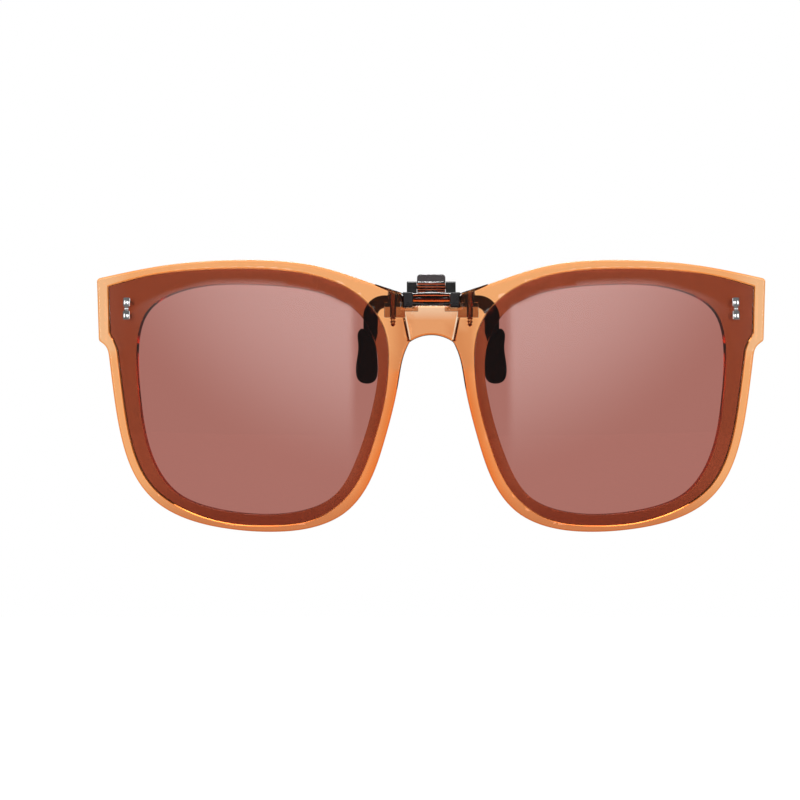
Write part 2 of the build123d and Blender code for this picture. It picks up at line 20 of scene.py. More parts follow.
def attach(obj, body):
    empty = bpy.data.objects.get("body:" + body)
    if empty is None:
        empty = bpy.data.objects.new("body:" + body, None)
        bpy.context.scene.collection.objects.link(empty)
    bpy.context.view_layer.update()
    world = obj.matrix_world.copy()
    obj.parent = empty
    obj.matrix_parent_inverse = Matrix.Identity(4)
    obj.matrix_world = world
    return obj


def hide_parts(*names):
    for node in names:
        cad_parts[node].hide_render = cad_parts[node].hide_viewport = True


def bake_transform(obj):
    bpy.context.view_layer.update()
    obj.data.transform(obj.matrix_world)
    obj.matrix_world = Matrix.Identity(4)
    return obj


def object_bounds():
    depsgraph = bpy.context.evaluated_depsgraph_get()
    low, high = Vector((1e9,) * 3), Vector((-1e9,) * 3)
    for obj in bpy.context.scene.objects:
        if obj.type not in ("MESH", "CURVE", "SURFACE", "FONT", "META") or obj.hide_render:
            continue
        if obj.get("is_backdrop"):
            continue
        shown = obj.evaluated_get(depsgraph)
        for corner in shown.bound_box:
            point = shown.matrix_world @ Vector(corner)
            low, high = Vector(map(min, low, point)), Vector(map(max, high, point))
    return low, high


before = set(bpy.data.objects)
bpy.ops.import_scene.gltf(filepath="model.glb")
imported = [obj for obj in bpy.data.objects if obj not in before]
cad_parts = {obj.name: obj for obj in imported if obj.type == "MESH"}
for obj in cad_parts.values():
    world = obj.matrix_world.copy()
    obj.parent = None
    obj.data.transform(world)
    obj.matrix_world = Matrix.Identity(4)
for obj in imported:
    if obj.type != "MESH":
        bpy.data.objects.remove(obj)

MM = 0.001
SAME = 0.0005
BEYOND = 8.0
PLAY = 0.03
GRAIN_DETAIL = 3.0
CLOUD_SPAN = 6
RELIEF_STRENGTH = 0.6
# the colour layer that carries the painted shade and painted light of the frame and the flip barrel
TONE_AND_PAINTED_LIGHT_LAYER = "tone_and_light_paint"
RANGE_INPUTS = ("From Min", "From Max", "To Min", "To Max")
Point = tuple[float, float]
Range = tuple[float, float]
Colour = tuple[float, float, float]
GLOSS_SPAN: Range = (0.3, 0.7)
TONE_SPAN: Range = (0.35, 0.65)
log = logging.getLogger("clip_on_lenses")


# ---------------------------------------------------------------- outlines
def flowing(points: Sequence[Point], gap: float = 1.0, closed: bool = False) -> list[Point]:
    """Runs a smooth cubic through a few points.

    Args:
        points: the points that the curve passes through.
        gap: about how far apart the returned points lie.
        closed: whether the curve comes back to its first point.

    Returns:
        Points along the curve. A closed curve doesn't repeat its first point.
    """
    knots = np.array(list(points) + ([points[0]] if closed else []))
    chords = np.hypot(*np.diff(knots, axis=0).T)
    count = len(knots)
    rows, wanted = np.zeros((count, count)), np.zeros((count, 2))
    for i in range(1, count - 1):
        rows[i, i - 1 : i + 2] = chords[i - 1], 2 * (chords[i - 1] + chords[i]), chords[i]
        after = (knots[i + 1] - knots[i]) / chords[i]
        wanted[i] = 6 * (after - (knots[i] - knots[i - 1]) / chords[i - 1])
    if closed:
        rows[0, 0], rows[0, -1] = 1, -1
        rows[-1, -2], rows[-1, 0], rows[-1, 1] = chords[-1], 2 * (chords[-1] + chords[0]), chords[0]
        wanted[-1] = 6 * ((knots[1] - knots[0]) / chords[0] - (knots[-1] - knots[-2]) / chords[-1])
    else:
        rows[0, 0] = rows[-1, -1] = 1
    bends = np.linalg.solve(rows, wanted)
    curve: list[Point] = []
    for i, chord in enumerate(chords):
        steps = max(2, round(chord / gap))
        for t in np.arange(steps) / steps:
            near, far = 1 - t, t
            place = near * knots[i] + far * knots[i + 1]
            bend = (near**3 - near) * bends[i] + (far**3 - far) * bends[i + 1]
            place = place + bend * chord**2 / 6
            curve.append((float(place[0]), float(place[1])))
    return curve if closed else curve + [tuple(points[-1])]


def arc(start: Point, middle: Point, end: Point, steps: int = 12) -> list[Point]:
    """The circular arc through three points, both ends included.

    Args:
        start: where it starts.
        middle: a point that it passes through.
        end: where it ends.
        steps: how many chords it is cut into.

    Returns:
        Points along the arc.
    """
    (ax, ay), (bx, by), (cx, cy) = start, middle, end
    double = 2 * (ax * (by - cy) + bx * (cy - ay) + cx * (ay - by))
    squares = [x * x + y * y for x, y in (start, middle, end)]
    ox = (squares[0] * (by - cy) + squares[1] * (cy - ay) + squares[2] * (ay - by)) / double
    oy = (squares[0] * (cx - bx) + squares[1] * (ax - cx) + squares[2] * (bx - ax)) / double
    radius = sqrt((ax - ox) ** 2 + (ay - oy) ** 2)
    first, through, last = (np.arctan2(y - oy, x - ox) for x, y in (start, middle, end))
    turn = (last - first) % tau
    if (through - first) % tau > turn:
        turn -= tau
    angles = [first + turn * i / steps for i in range(steps + 1)]
    return [(ox + radius * cos(a), oy + radius * sin(a)) for a in angles]


def mirrored_outline(right: Sequence[Point]) -> list[Point]:
    """Closes a right-hand outline, both ends on x = 0, with its mirror image."""
    return list(right) + [(-x, z) for x, z in reversed(right[1:-1])]


# ---------------------------------------------------------------- bench tools
class View(Enum):
    """The side that a flat outline is drawn from."""

    FRONT = "x and z, with depth along y"
    SIDE = "y and z, with depth along x"

    def place(self, across: float, up: float, depth: float) -> Vector:
        """A point in metres from its place in the outline and its depth."""
        x, y = (across, depth) if self is View.FRONT else (depth, across)
        return Vector((x, y, up)) * MM


class Axis(Enum):
    """The direction of a rod, as the turns that lay a Z cylinder along it."""

    X = (0.0, tau / 4, 0.0)
    Y = (tau / 4, 0.0, 0.0)
    Z = (0.0, 0.0, 0.0)


class Joinery(Enum):
    """How one solid is worked with another."""

    ADD = "UNION"
    CUT = "DIFFERENCE"
    KEEP = "INTERSECT"


def take(piece: Object) -> None:
    """Makes a piece the only selected object, and the active one.

    Args:
        piece: the object to work on next.
    """
    bpy.ops.object.select_all(action="DESELECT")
    piece.select_set(True)
    bpy.context.view_layer.objects.active = piece


@contextmanager
def editing(piece: Object) -> Iterator[None]:
    """Opens a piece in edit mode with all of it selected, and closes it again.

    Args:
        piece: the object to open.

    Returns:
        Nothing; the piece is open inside the with block.
    """
    take(piece)
    bpy.ops.object.mode_set(mode="EDIT")
    bpy.ops.mesh.select_all(action="SELECT")
    yield
    bpy.ops.object.mode_set(mode="OBJECT")


def mend() -> None:
    """Merges an open mesh's doubles and turns all of its faces outwards."""
    bpy.ops.mesh.select_all(action="SELECT")
    bpy.ops.mesh.remove_doubles(threshold=SAME * MM)
    bpy.ops.mesh.dissolve_degenerate(threshold=SAME * MM)
    bpy.ops.mesh.select_all(action="SELECT")
    bpy.ops.mesh.normals_make_consistent(inside=False)


def named(name: str) -> Object:
    """Names the object just added and puts its place in its mesh.

    Args:
        name: the object's and its mesh's name.

    Returns:
        The object.
    """
    piece = bpy.context.object
    piece.name = piece.data.name = name
    bpy.ops.object.transform_apply(location=True, rotation=True, scale=True)
    return piece


def outline_solid(
    name: str, outline: Sequence[Point], depth: Range, view: View = View.FRONT
) -> Object:
    """Fills an outline and extrudes it.

    Args:
        name: the new object's name.
        outline: the corners, in order, without repeating the first.
        depth: where the solid starts and ends along the view's depth.
        view: the side that the outline is drawn from.

    Returns:
        The closed solid.
    """
    bpy.ops.object.select_all(action="DESELECT")
    bpy.ops.mesh.primitive_circle_add(vertices=len(outline), radius=MM, fill_type="NGON")
    piece = named(name)
    for vertex, (across, up) in zip(piece.data.vertices, outline):
        vertex.co = view.place(across, up, depth[0])
    with editing(piece):
        push = view.place(0, 0, depth[1] - depth[0])
        bpy.ops.mesh.extrude_region_move(TRANSFORM_OT_translate={"value": push})
        bpy.ops.mesh.select_all(action="SELECT")
        bpy.ops.mesh.normals_make_consistent(inside=False)
    return piece


def block(name: str, x: Range, y: Range, z: Range) -> Object:
    """A box from its limits along each axis.

    Args:
        name: the new object's name.
        x: its limits along X.
        y: its limits along Y.
        z: its limits along Z.

    Returns:
        The closed solid.
    """
    spans = (x, y, z)
    bpy.ops.object.select_all(action="DESELECT")
    bpy.ops.mesh.primitive_cube_add(
        size=1,
        location=[(low + high) / 2 * MM for low, high in spans],
        scale=[(high - low) * MM for low, high in spans],
    )
    return named(name)


def rod(
    name: str, axis: Axis, radius: float, reach: Range, across: Point, sides: int = 48
) -> Object:
    """A cylinder along one axis.

    Args:
        name: the new object's name.
        axis: the direction that it runs in.
        radius: its radius.
        reach: where it starts and ends along the axis.
        across: its place on the other two axes, in the order X, Y, Z.
        sides: how many flats go round it.

    Returns:
        The closed solid.
    """
    middle = list(across)
    middle.insert("XYZ".index(axis.name), (reach[0] + reach[1]) / 2)
    bpy.ops.object.select_all(action="DESELECT")
    bpy.ops.mesh.primitive_cylinder_add(
        vertices=sides,
        radius=radius * MM,
        depth=(reach[1] - reach[0]) * MM,
        location=[value * MM for value in middle],
        rotation=axis.value,
    )
    return named(name)


def turned(
    name: str, profile: Sequence[Point], axis: Axis, across: Point, steps: int = 40
) -> Object:
    """Spins a profile about an axis, as on a lathe.

    Args:
        name: the new object's name.
        profile: points as (place along the axis, radius), both ends on the axis.
        axis: the axis of the lathe.
        across: the axis's place on the other two axes, in the order X, Y, Z.
        steps: how many facets go round.

    Returns:
        The closed solid.
    """
    along = "XYZ".index(axis.name)
    middle = list(across)
    middle.insert(along, 0.0)
    out = [0.0, 0.0, 0.0]
    out[(along + 1) % 3] = 1.0
    bpy.ops.object.select_all(action="DESELECT")
    bpy.ops.mesh.primitive_circle_add(vertices=len(profile), radius=MM, fill_type="NOTHING")
    piece = named(name)
    for vertex, (reach, radius) in zip(piece.data.vertices, profile):
        place = [middle[i] + radius * out[i] for i in range(3)]
        place[along] = reach
        vertex.co = Vector(place) * MM
    direction = [1.0 if i == along else 0.0 for i in range(3)]
    with editing(piece):
        bpy.ops.mesh.spin(steps=steps, angle=tau, center=[v * MM for v in middle], axis=direction)
        mend()
    return piece


def apply_modifier(piece: Object, kind: str, **settings: object) -> None:
    """Adds one modifier with its settings and applies it.

    Args:
        piece: the object to change.
        kind: the modifier's type.
        **settings: the modifier's own values.
    """
    modifier = piece.modifiers.new(kind.lower(), kind)
    for key, value in settings.items():
        setattr(modifier, key, value)
    take(piece)
    bpy.ops.object.modifier_apply(modifier=modifier.name)


def work(piece: Object, joinery: Joinery, *tools: Object) -> Object:
    """Adds, cuts or keeps with each tool in turn, and clears the tools away.

    Args:
        piece: the solid that is worked.
        joinery: what each tool does to it.
        *tools: the solids that it is worked with.

    Returns:
        The piece.
    """
    for tool in tools:
        apply_modifier(piece, "BOOLEAN", operation=joinery.value, solver="EXACT", object=tool)
        bpy.data.objects.remove(tool, do_unlink=True)
    return piece


def soften(piece: Object, width: float, segments: int = 3, angle: float = 35.0) -> Object:
    """Rounds every edge that turns more than an angle in degrees.

    Args:
        piece: the solid to round.
        width: how far from the edge the rounding starts.
        segments: how many flats make the rounding.
        angle: the smallest turn that is rounded, in degrees.

    Returns:
        The piece.
    """
    apply_modifier(
        piece,
        "BEVEL",
        width=width * MM,
        segments=segments,
        limit_method="ANGLE",
        angle_limit=radians(angle),
        use_clamp_overlap=False,
    )
    return piece


def twin(piece: Object, name: str) -> Object:
    """A left-hand copy of a right-hand piece, with its own mesh.

    Args:
        piece: the right-hand piece.
        name: the copy's name.

    Returns:
        The left-hand piece.
    """
    take(piece)
    bpy.ops.object.duplicate()
    copy = bpy.context.object
    copy.scale.x = -1
    named(name)
    with editing(copy):
        bpy.ops.mesh.normals_make_consistent(inside=False)
    return copy


def both_sides(make: Callable[[], Object]) -> list[Object]:
    """A right-hand tool and its left-hand twin."""
    right = make()
    return [right, twin(right, right.name + "_twin")]


def settle(piece: Object, angle: float = 32.0) -> Object:
    """Cleans a finished mesh and shades it smooth between its sharp edges.

    Args:
        piece: the mesh to finish.
        angle: the sharpest turn that is shaded smooth, in degrees.

    Returns:
        The piece.
    """
    with editing(piece):
        mend()
    take(piece)
    bpy.ops.object.shade_smooth_by_angle(angle=radians(angle))
    apply_modifier(piece, "WEIGHTED_NORMAL", keep_sharp=True)
    return piece


def blended(first: Colour, second: Colour, share: float) -> Colour:
    """A colour part of the way from one to another."""
    share = min(1.0, max(0.0, share))
    return tuple(a + (b - a) * share for a, b in zip(first, second))


def part(value: float, span: Range) -> float:
    """How far a value has come from the first to the second end of a span, from 0 to 1."""
    return min(1.0, max(0.0, (value - span[0]) / (span[1] - span[0])))


def paint(piece: Object, tone_and_painted_light: Callable[[Vector, Vector], Colour]) -> None:
    """Paints each corner of each face, painted shade and light included, from its place in mm and the
    face's normal.

    Args:
        piece: the finished mesh.
        tone_and_painted_light: gives the colour, painted shade and light included, from the place and
            the normal.
    """
    layer = piece.data.color_attributes.new(TONE_AND_PAINTED_LIGHT_LAYER, "FLOAT_COLOR", "CORNER")
    for face in piece.data.polygons:
        for corner in face.loop_indices:
            place = piece.data.vertices[piece.data.loops[corner].vertex_index].co / MM
            layer.data[corner].color = (*tone_and_painted_light(place, face.normal), 1.0)


def accent(piece: Object, finish: "Finish", wanted: Callable[[Vector], bool]) -> None:
    """Gives the faces whose middle in mm is wanted a second finish.

    Args:
        piece: a piece that has its first finish.
        finish: the second finish.
        wanted: says whether a place is in the second finish.
    """
    piece.data.materials.append(finish.material())
    for face in piece.data.polygons:
        if wanted(face.center / MM):
            face.material_index = 1


def present(piece: Object, body: str, slot: str, finish: "Finish", *nodes: str) -> None:
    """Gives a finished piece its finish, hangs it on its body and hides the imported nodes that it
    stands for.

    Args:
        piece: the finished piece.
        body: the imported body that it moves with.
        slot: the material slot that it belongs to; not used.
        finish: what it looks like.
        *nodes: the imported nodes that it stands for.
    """
    piece.data.materials.clear()
    piece.data.materials.append(finish.material())
    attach(piece, body)
    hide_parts(*nodes)
    log.info("%s: %d faces, on %s, in %s", piece.name, len(piece.data.polygons), body, finish.name)


# ---------------------------------------------------------------- finishes
@dataclass(frozen=True)
class Finish:
    """What every surface has: a tone, a gloss that varies and a fine relief."""

    name: str
    tone: tuple[float, float, float]
    gloss: Range
    grain: float
    relief: float
    drift: float = 0.14

    def material(self) -> Material:
        """The finish as a material, made once and shared.

        Returns:
            The material.
        """
        made = bpy.data.materials.get(self.name)
        if made is None:
            made = bpy.data.materials.new(self.name)
            made.use_nodes = True
            self.lay(made.node_tree)
        return made

    def lay(self, tree: NodeTree) -> ShaderNode:
        """Wires up the gloss, the relief and the tone.

        Args:
            tree: the material's nodes.

        Returns:
            The main shader.
        """
        shader = tree.nodes["Principled BSDF"]
        place = tree.nodes.new("ShaderNodeTexCoord")
        grain = tree.nodes.new("ShaderNodeTexNoise")
        grain.inputs["Scale"].default_value = 1 / (self.grain * MM)
        grain.inputs["Detail"].default_value = GRAIN_DETAIL
        cloud = tree.nodes.new("ShaderNodeTexNoise")
        cloud.inputs["Scale"].default_value = 1 / (CLOUD_SPAN * self.grain * MM)
        for noise in (grain, cloud):
            tree.links.new(place.outputs["Object"], noise.inputs["Vector"])
        gloss = tree.nodes.new("ShaderNodeMapRange")
        for name, number in zip(RANGE_INPUTS, (*GLOSS_SPAN, *self.gloss)):
            gloss.inputs[name].default_value = number
        tree.links.new(cloud.outputs["Fac"], gloss.inputs["Value"])
        tree.links.new(gloss.outputs["Result"], shader.inputs["Roughness"])
        bump = tree.nodes.new("ShaderNodeBump")
        bump.inputs["Strength"].default_value = RELIEF_STRENGTH
        bump.inputs["Distance"].default_value = self.relief * MM
        tree.links.new(grain.outputs["Fac"], bump.inputs["Height"])
        tree.links.new(bump.outputs["Normal"], shader.inputs["Normal"])
        self.colour(tree, shader, cloud)
        return shader

    def colour(self, tree: NodeTree, shader: ShaderNode, cloud: ShaderNode) -> None:
        """Lets the tone drift a little across the surface.

        Args:
            tree: the material's nodes.
            shader: the main shader.
            cloud: the slow noise that the tone follows.
        """
        wander = tree.nodes.new("ShaderNodeValToRGB")
        stops = zip(wander.color_ramp.elements, (1.0 - self.drift, 1.0), TONE_SPAN)
        for stop, share, position in stops:
            stop.color = (*(channel * share for channel in self.tone), 1)
            stop.position = position
        tree.links.new(cloud.outputs["Fac"], wander.inputs["Fac"])
        tree.links.new(wander.outputs["Color"], shader.inputs["Base Color"])


@dataclass(frozen=True)
class ClearMoulding(Finish):
    """A see-through plastic that colours light by how deep it goes."""

    passes: tuple[float, float, float] = (1.0, 1.0, 1.0)
    depth: float = 1.0
    bend: float = 1.5
    painted: bool = False

    def lay(self, tree: NodeTree) -> ShaderNode:
        """Adds the clear body and its absorption.

        Args:
            tree: the material's nodes.

        Returns:
            The main shader.
        """
        shader = super().lay(tree)
        shader.inputs["Transmission Weight"].default_value = 1.0
        shader.inputs["IOR"].default_value = self.bend
        # a painted moulding takes its colour, painted shade and light included, from the painted
        # layer
        if self.painted:
            layer = tree.nodes.new("ShaderNodeVertexColor")
            layer.layer_name = TONE_AND_PAINTED_LIGHT_LAYER
            tree.links.new(layer.outputs["Color"], shader.inputs["Base Color"])
        inside = tree.nodes.new("ShaderNodeVolumeAbsorption")
        losses = [-np.log(share) / (self.depth * MM) for share in self.passes]
        density = max(losses) * 1.0001
        inside.inputs["Density"].default_value = density
        inside.inputs["Color"].default_value = (*(1 - loss / density for loss in losses), 1)
        tree.links.new(inside.outputs["Volume"], tree.nodes["Material Output"].inputs["Volume"])
        return shader


@dataclass(frozen=True)
class Metal(Finish):
    """Bare or plated metal."""

    def lay(self, tree: NodeTree) -> ShaderNode:
        """Makes the surface metallic.

        Args:
            tree: the material's nodes.

        Returns:
            The main shader.
        """
        shader = super().lay(tree)
        shader.inputs["Metallic"].default_value = 1.0
        return shader


@dataclass(frozen=True)
class Lacquer(Finish):
    """A coloured coat under a thin clear one."""

    coat: float = 0.5
    coat_gloss: float = 0.12

    def lay(self, tree: NodeTree) -> ShaderNode:
        """Adds the clear coat.

        Args:
            tree: the material's nodes.

        Returns:
            The main shader.
        """
        shader = super().lay(tree)
        shader.inputs["Coat Weight"].default_value = self.coat
        shader.inputs["Coat Roughness"].default_value = self.coat_gloss
        return shader


WATER_CLEAR = (0.985, 0.985, 0.985)
# painted light: colourless, for the bridge's panel and the clear line along the hollow's foot
CLEAR_PAINTED_LIGHT = (1.0, 1.0, 1.0)
WING_TINT = (0.99, 0.98, 0.97)
BAND_TINT = (0.98, 0.80, 0.62)
# painted shade for the frame, and the flip barrel's painted shade and painted glow, down to the arch
# edge's colour
PAINTED_NOSE_SHADE = (0.86, 0.37, 0.13)
PAINTED_POST_SHADE = (0.76, 0.50, 0.34)
PAINTED_KEYSTONE_SHADE = (0.85, 0.48, 0.27)
PAINTED_FOOT_SHADE = (0.66, 0.40, 0.28)
PAINTED_BED_SHADE = (0.53, 0.37, 0.30)
PAINTED_NOSE_BED_SHADE = (0.40, 0.20, 0.13)
PAINTED_EDGE_SHADE = (0.93, 0.56, 0.26)
PAINTED_BARREL_SHADE = (0.22, 0.07, 0.04)
BARREL_GLOW = (1.0, 0.30, 0.08)
PAINTED_WALL_SHADE = (0.30, 0.12, 0.06)
PAINTED_ARCH_EDGE_SHADE = (0.86, 0.38, 0.12)
AMBER = ClearMoulding(
    "amber_moulding", WATER_CLEAR, (0.03, 0.07), 2.5, 0.008, passes=(0.95, 0.53, 0.27), depth=3.6,
    painted=True,
)
ROSE_TINT = ClearMoulding(
    "rose_tint", WATER_CLEAR, (0.0, 0.015), 6.0, 0.0006, drift=0.01, passes=(0.435, 0.174, 0.144),
    depth=1.3,
)
SMOKE = ClearMoulding(
    "smoke_moulding", WATER_CLEAR, (0.05, 0.11), 1.5, 0.004, drift=0.03, passes=(0.42, 0.17, 0.075),
    depth=2.4,
)
BARREL_SMOKE = ClearMoulding(
    "barrel_smoke", WATER_CLEAR, (0.03, 0.08), 1.5, 0.003, passes=(0.60, 0.25, 0.11), depth=2.4,
    painted=True,
)
DARK_SMOKE = ClearMoulding(
    "dark_smoke_moulding", WATER_CLEAR, (0.06, 0.14), 1.5, 0.004, drift=0.03,
    passes=(0.05, 0.042, 0.044), depth=1.2,
)
CLEAR_WASHER = ClearMoulding(
    "clear_washer", WATER_CLEAR, (0.02, 0.05), 1.0, 0.001, drift=0.02, passes=(0.97, 0.92, 0.88),
    depth=0.35,
)
# a painted glow: light orange on the lever's grooves, standing in for light caught in the ridges
GLOWING_EDGE = Finish("glowing_edge", (1.0, 0.25, 0.11), (0.3, 0.45), 0.3, 0.002)
DEEP_SMOKE = Finish("deep_smoke", (0.016, 0.012, 0.014), (0.22, 0.36), 0.4, 0.003)
BLACK_COAT = Lacquer("black_coat", (0.006, 0.005, 0.005), (0.3, 0.44), 0.12, 0.004, coat=0.15)
BLACK_SILICONE = Finish("black_silicone_skin", (0.013, 0.012, 0.011), (0.5, 0.68), 0.09, 0.006)
BRIGHT_PLATE = Metal("bright_plate", (0.93, 0.93, 0.94), (0.05, 0.13), 0.4, 0.002)
PIN_STEEL = Metal("pin_steel", (0.56, 0.55, 0.54), (0.24, 0.38), 0.08, 0.003)
DARK_STEEL = Metal("dark_steel", (0.52, 0.17, 0.05), (0.42, 0.58), 0.1, 0.003)
SPRING_STEEL = Metal("spring_steel", (0.42, 0.41, 0.40), (0.2, 0.32), 0.1, 0.002)


# ---------------------------------------------------------------- the flip-up front
@dataclass(frozen=True)
class Shell:
    """The slice between two spheres that the frame and both lenses are cut from."""

    radius: float = 265.0
    apex: float = -10.9
    middle_z: float = -8.75

    def y(self, x: float, z: float, depth: float = 0.0) -> float:
        """How far back the shell lies at x and z, at a depth under its front face."""
        centre = self.apex + self.radius
        return centre - sqrt((self.radius - depth) ** 2 - x**2 - (z - self.middle_z) ** 2)

    def curve(self, piece: Object) -> None:
        """Turns a flat piece, whose y is its depth, into a slice of the shell.

        Args:
            piece: the flat piece.
        """
        for vertex in piece.data.vertices:
            x, depth, z = vertex.co / MM
            vertex.co.y = self.y(x, z, depth) * MM

    def draft(self, piece: Object) -> Object:
        """Leans a flat piece's walls, so that they will stand square to the curved shell.

        Args:
            piece: the flat piece.

        Returns:
            The piece.
        """
        for vertex in piece.data.vertices:
            shrink = 1 - vertex.co.y / MM / self.radius
            vertex.co.x *= shrink
            vertex.co.z = self.middle_z * MM + (vertex.co.z - self.middle_z * MM) * shrink
        return piece

    def seat(self, x: float, z: float) -> Matrix:
        """A place on the front face: local z points out of it and local y up along it.

        Args:
            x: the place's x.
            z: the place's z.

        Returns:
            The place and its turn, in metres.
        """
        place = Vector((x, self.y(x, z), z))
        out = (place - Vector((0, self.apex + self.radius, self.middle_z))).normalized()
        along = Vector((0, 0, 1)).cross(out).normalized()
        turn = Matrix((along, out.cross(along), out)).transposed().to_4x4()
        return Matrix.Translation(place * MM) @ turn


@dataclass
class TintedLens:
    """One thin curved lens, with the recess that holds it."""

    shell: Shell
    front_depth: float = 0.27
    back_depth: float = 1.57
    recess: float = 1.6
    recess_growth: float = 1.003
    centre: Point = (40.5, -9.0)
    polish: float = 0.16
    cell: float = 3.0
    round_path: tuple[Point, ...] = (
        (71.5, 15.5), (62.6, 17.8), (50.0, 19.1), (39.5, 19.25), (29.3, 18.4), (19.0, 15.2),
        (13.1, 10.5), (10.3, 5.7), (9.5, -2.5), (10.3, -9.7), (12.85, -19.4), (16.85, -28.7),
        (24.7, -35.45), (34.7, -37.3), (44.3, -36.9), (53.7, -34.2), (61.9, -28.45), (66.2, -19.4),
        (68.0, -9.7), (69.4, 1.2),
    )
    step_path: tuple[Point, ...] = ((69.4, 1.2), (70.2, 3.3), (71.2, 5.0))

    def outline(self, growth: float = 1.0) -> list[Point]:
        """The lens's edge, grown about its centre.

        Args:
            growth: how much larger than the lens it is.

        Returns:
            The closed outline, in x and z.
        """
        cx, cz = self.centre
        rim = flowing(self.round_path, 0.9) + flowing(self.step_path, 0.6)[1:]
        return [(cx + growth * (x - cx), cz + growth * (z - cz)) for x, z in rim]

    def recess_tool(self) -> Object:
        """The flat cutter of the right recess."""
        tool = outline_solid("recess", self.outline(self.recess_growth), (-2, self.recess))
        return self.shell.draft(tool)

    def build(self, holes: Callable[[], Object]) -> Object:
        """The right lens.

        Args:
            holes: makes the cutter of the ornament's holes.

        Returns:
            The finished lens.
        """
        lens = outline_solid("lens_right_pane", self.outline(), (self.front_depth, self.back_depth))
        soften(self.shell.draft(lens), self.polish, 2, 50)
        slice_grid(lens, self.cell)
        self.shell.curve(lens)
        work(lens, Joinery.CUT, holes())
        return settle(lens)


def slice_grid(piece: Object, cell: float) -> None:
    """Cuts a flat piece into cells along x and z, so that it can be curved.

    Args:
        piece: the flat piece.
        cell: the side of a cell.
    """
    corners = np.array([vertex.co for vertex in piece.data.vertices])
    with editing(piece):
        for axis in (0, 2):
            low, high = corners[:, axis].min(), corners[:, axis].max()
            for place in np.arange(low + cell * MM / 2, high, cell * MM):
                spot, way = [0.0, 0.0, 0.0], [0.0, 0.0, 0.0]
                spot[axis], way[axis] = place, 1.0
                bpy.ops.mesh.select_all(action="SELECT")
                bpy.ops.mesh.bisect(plane_co=spot, plane_no=way)


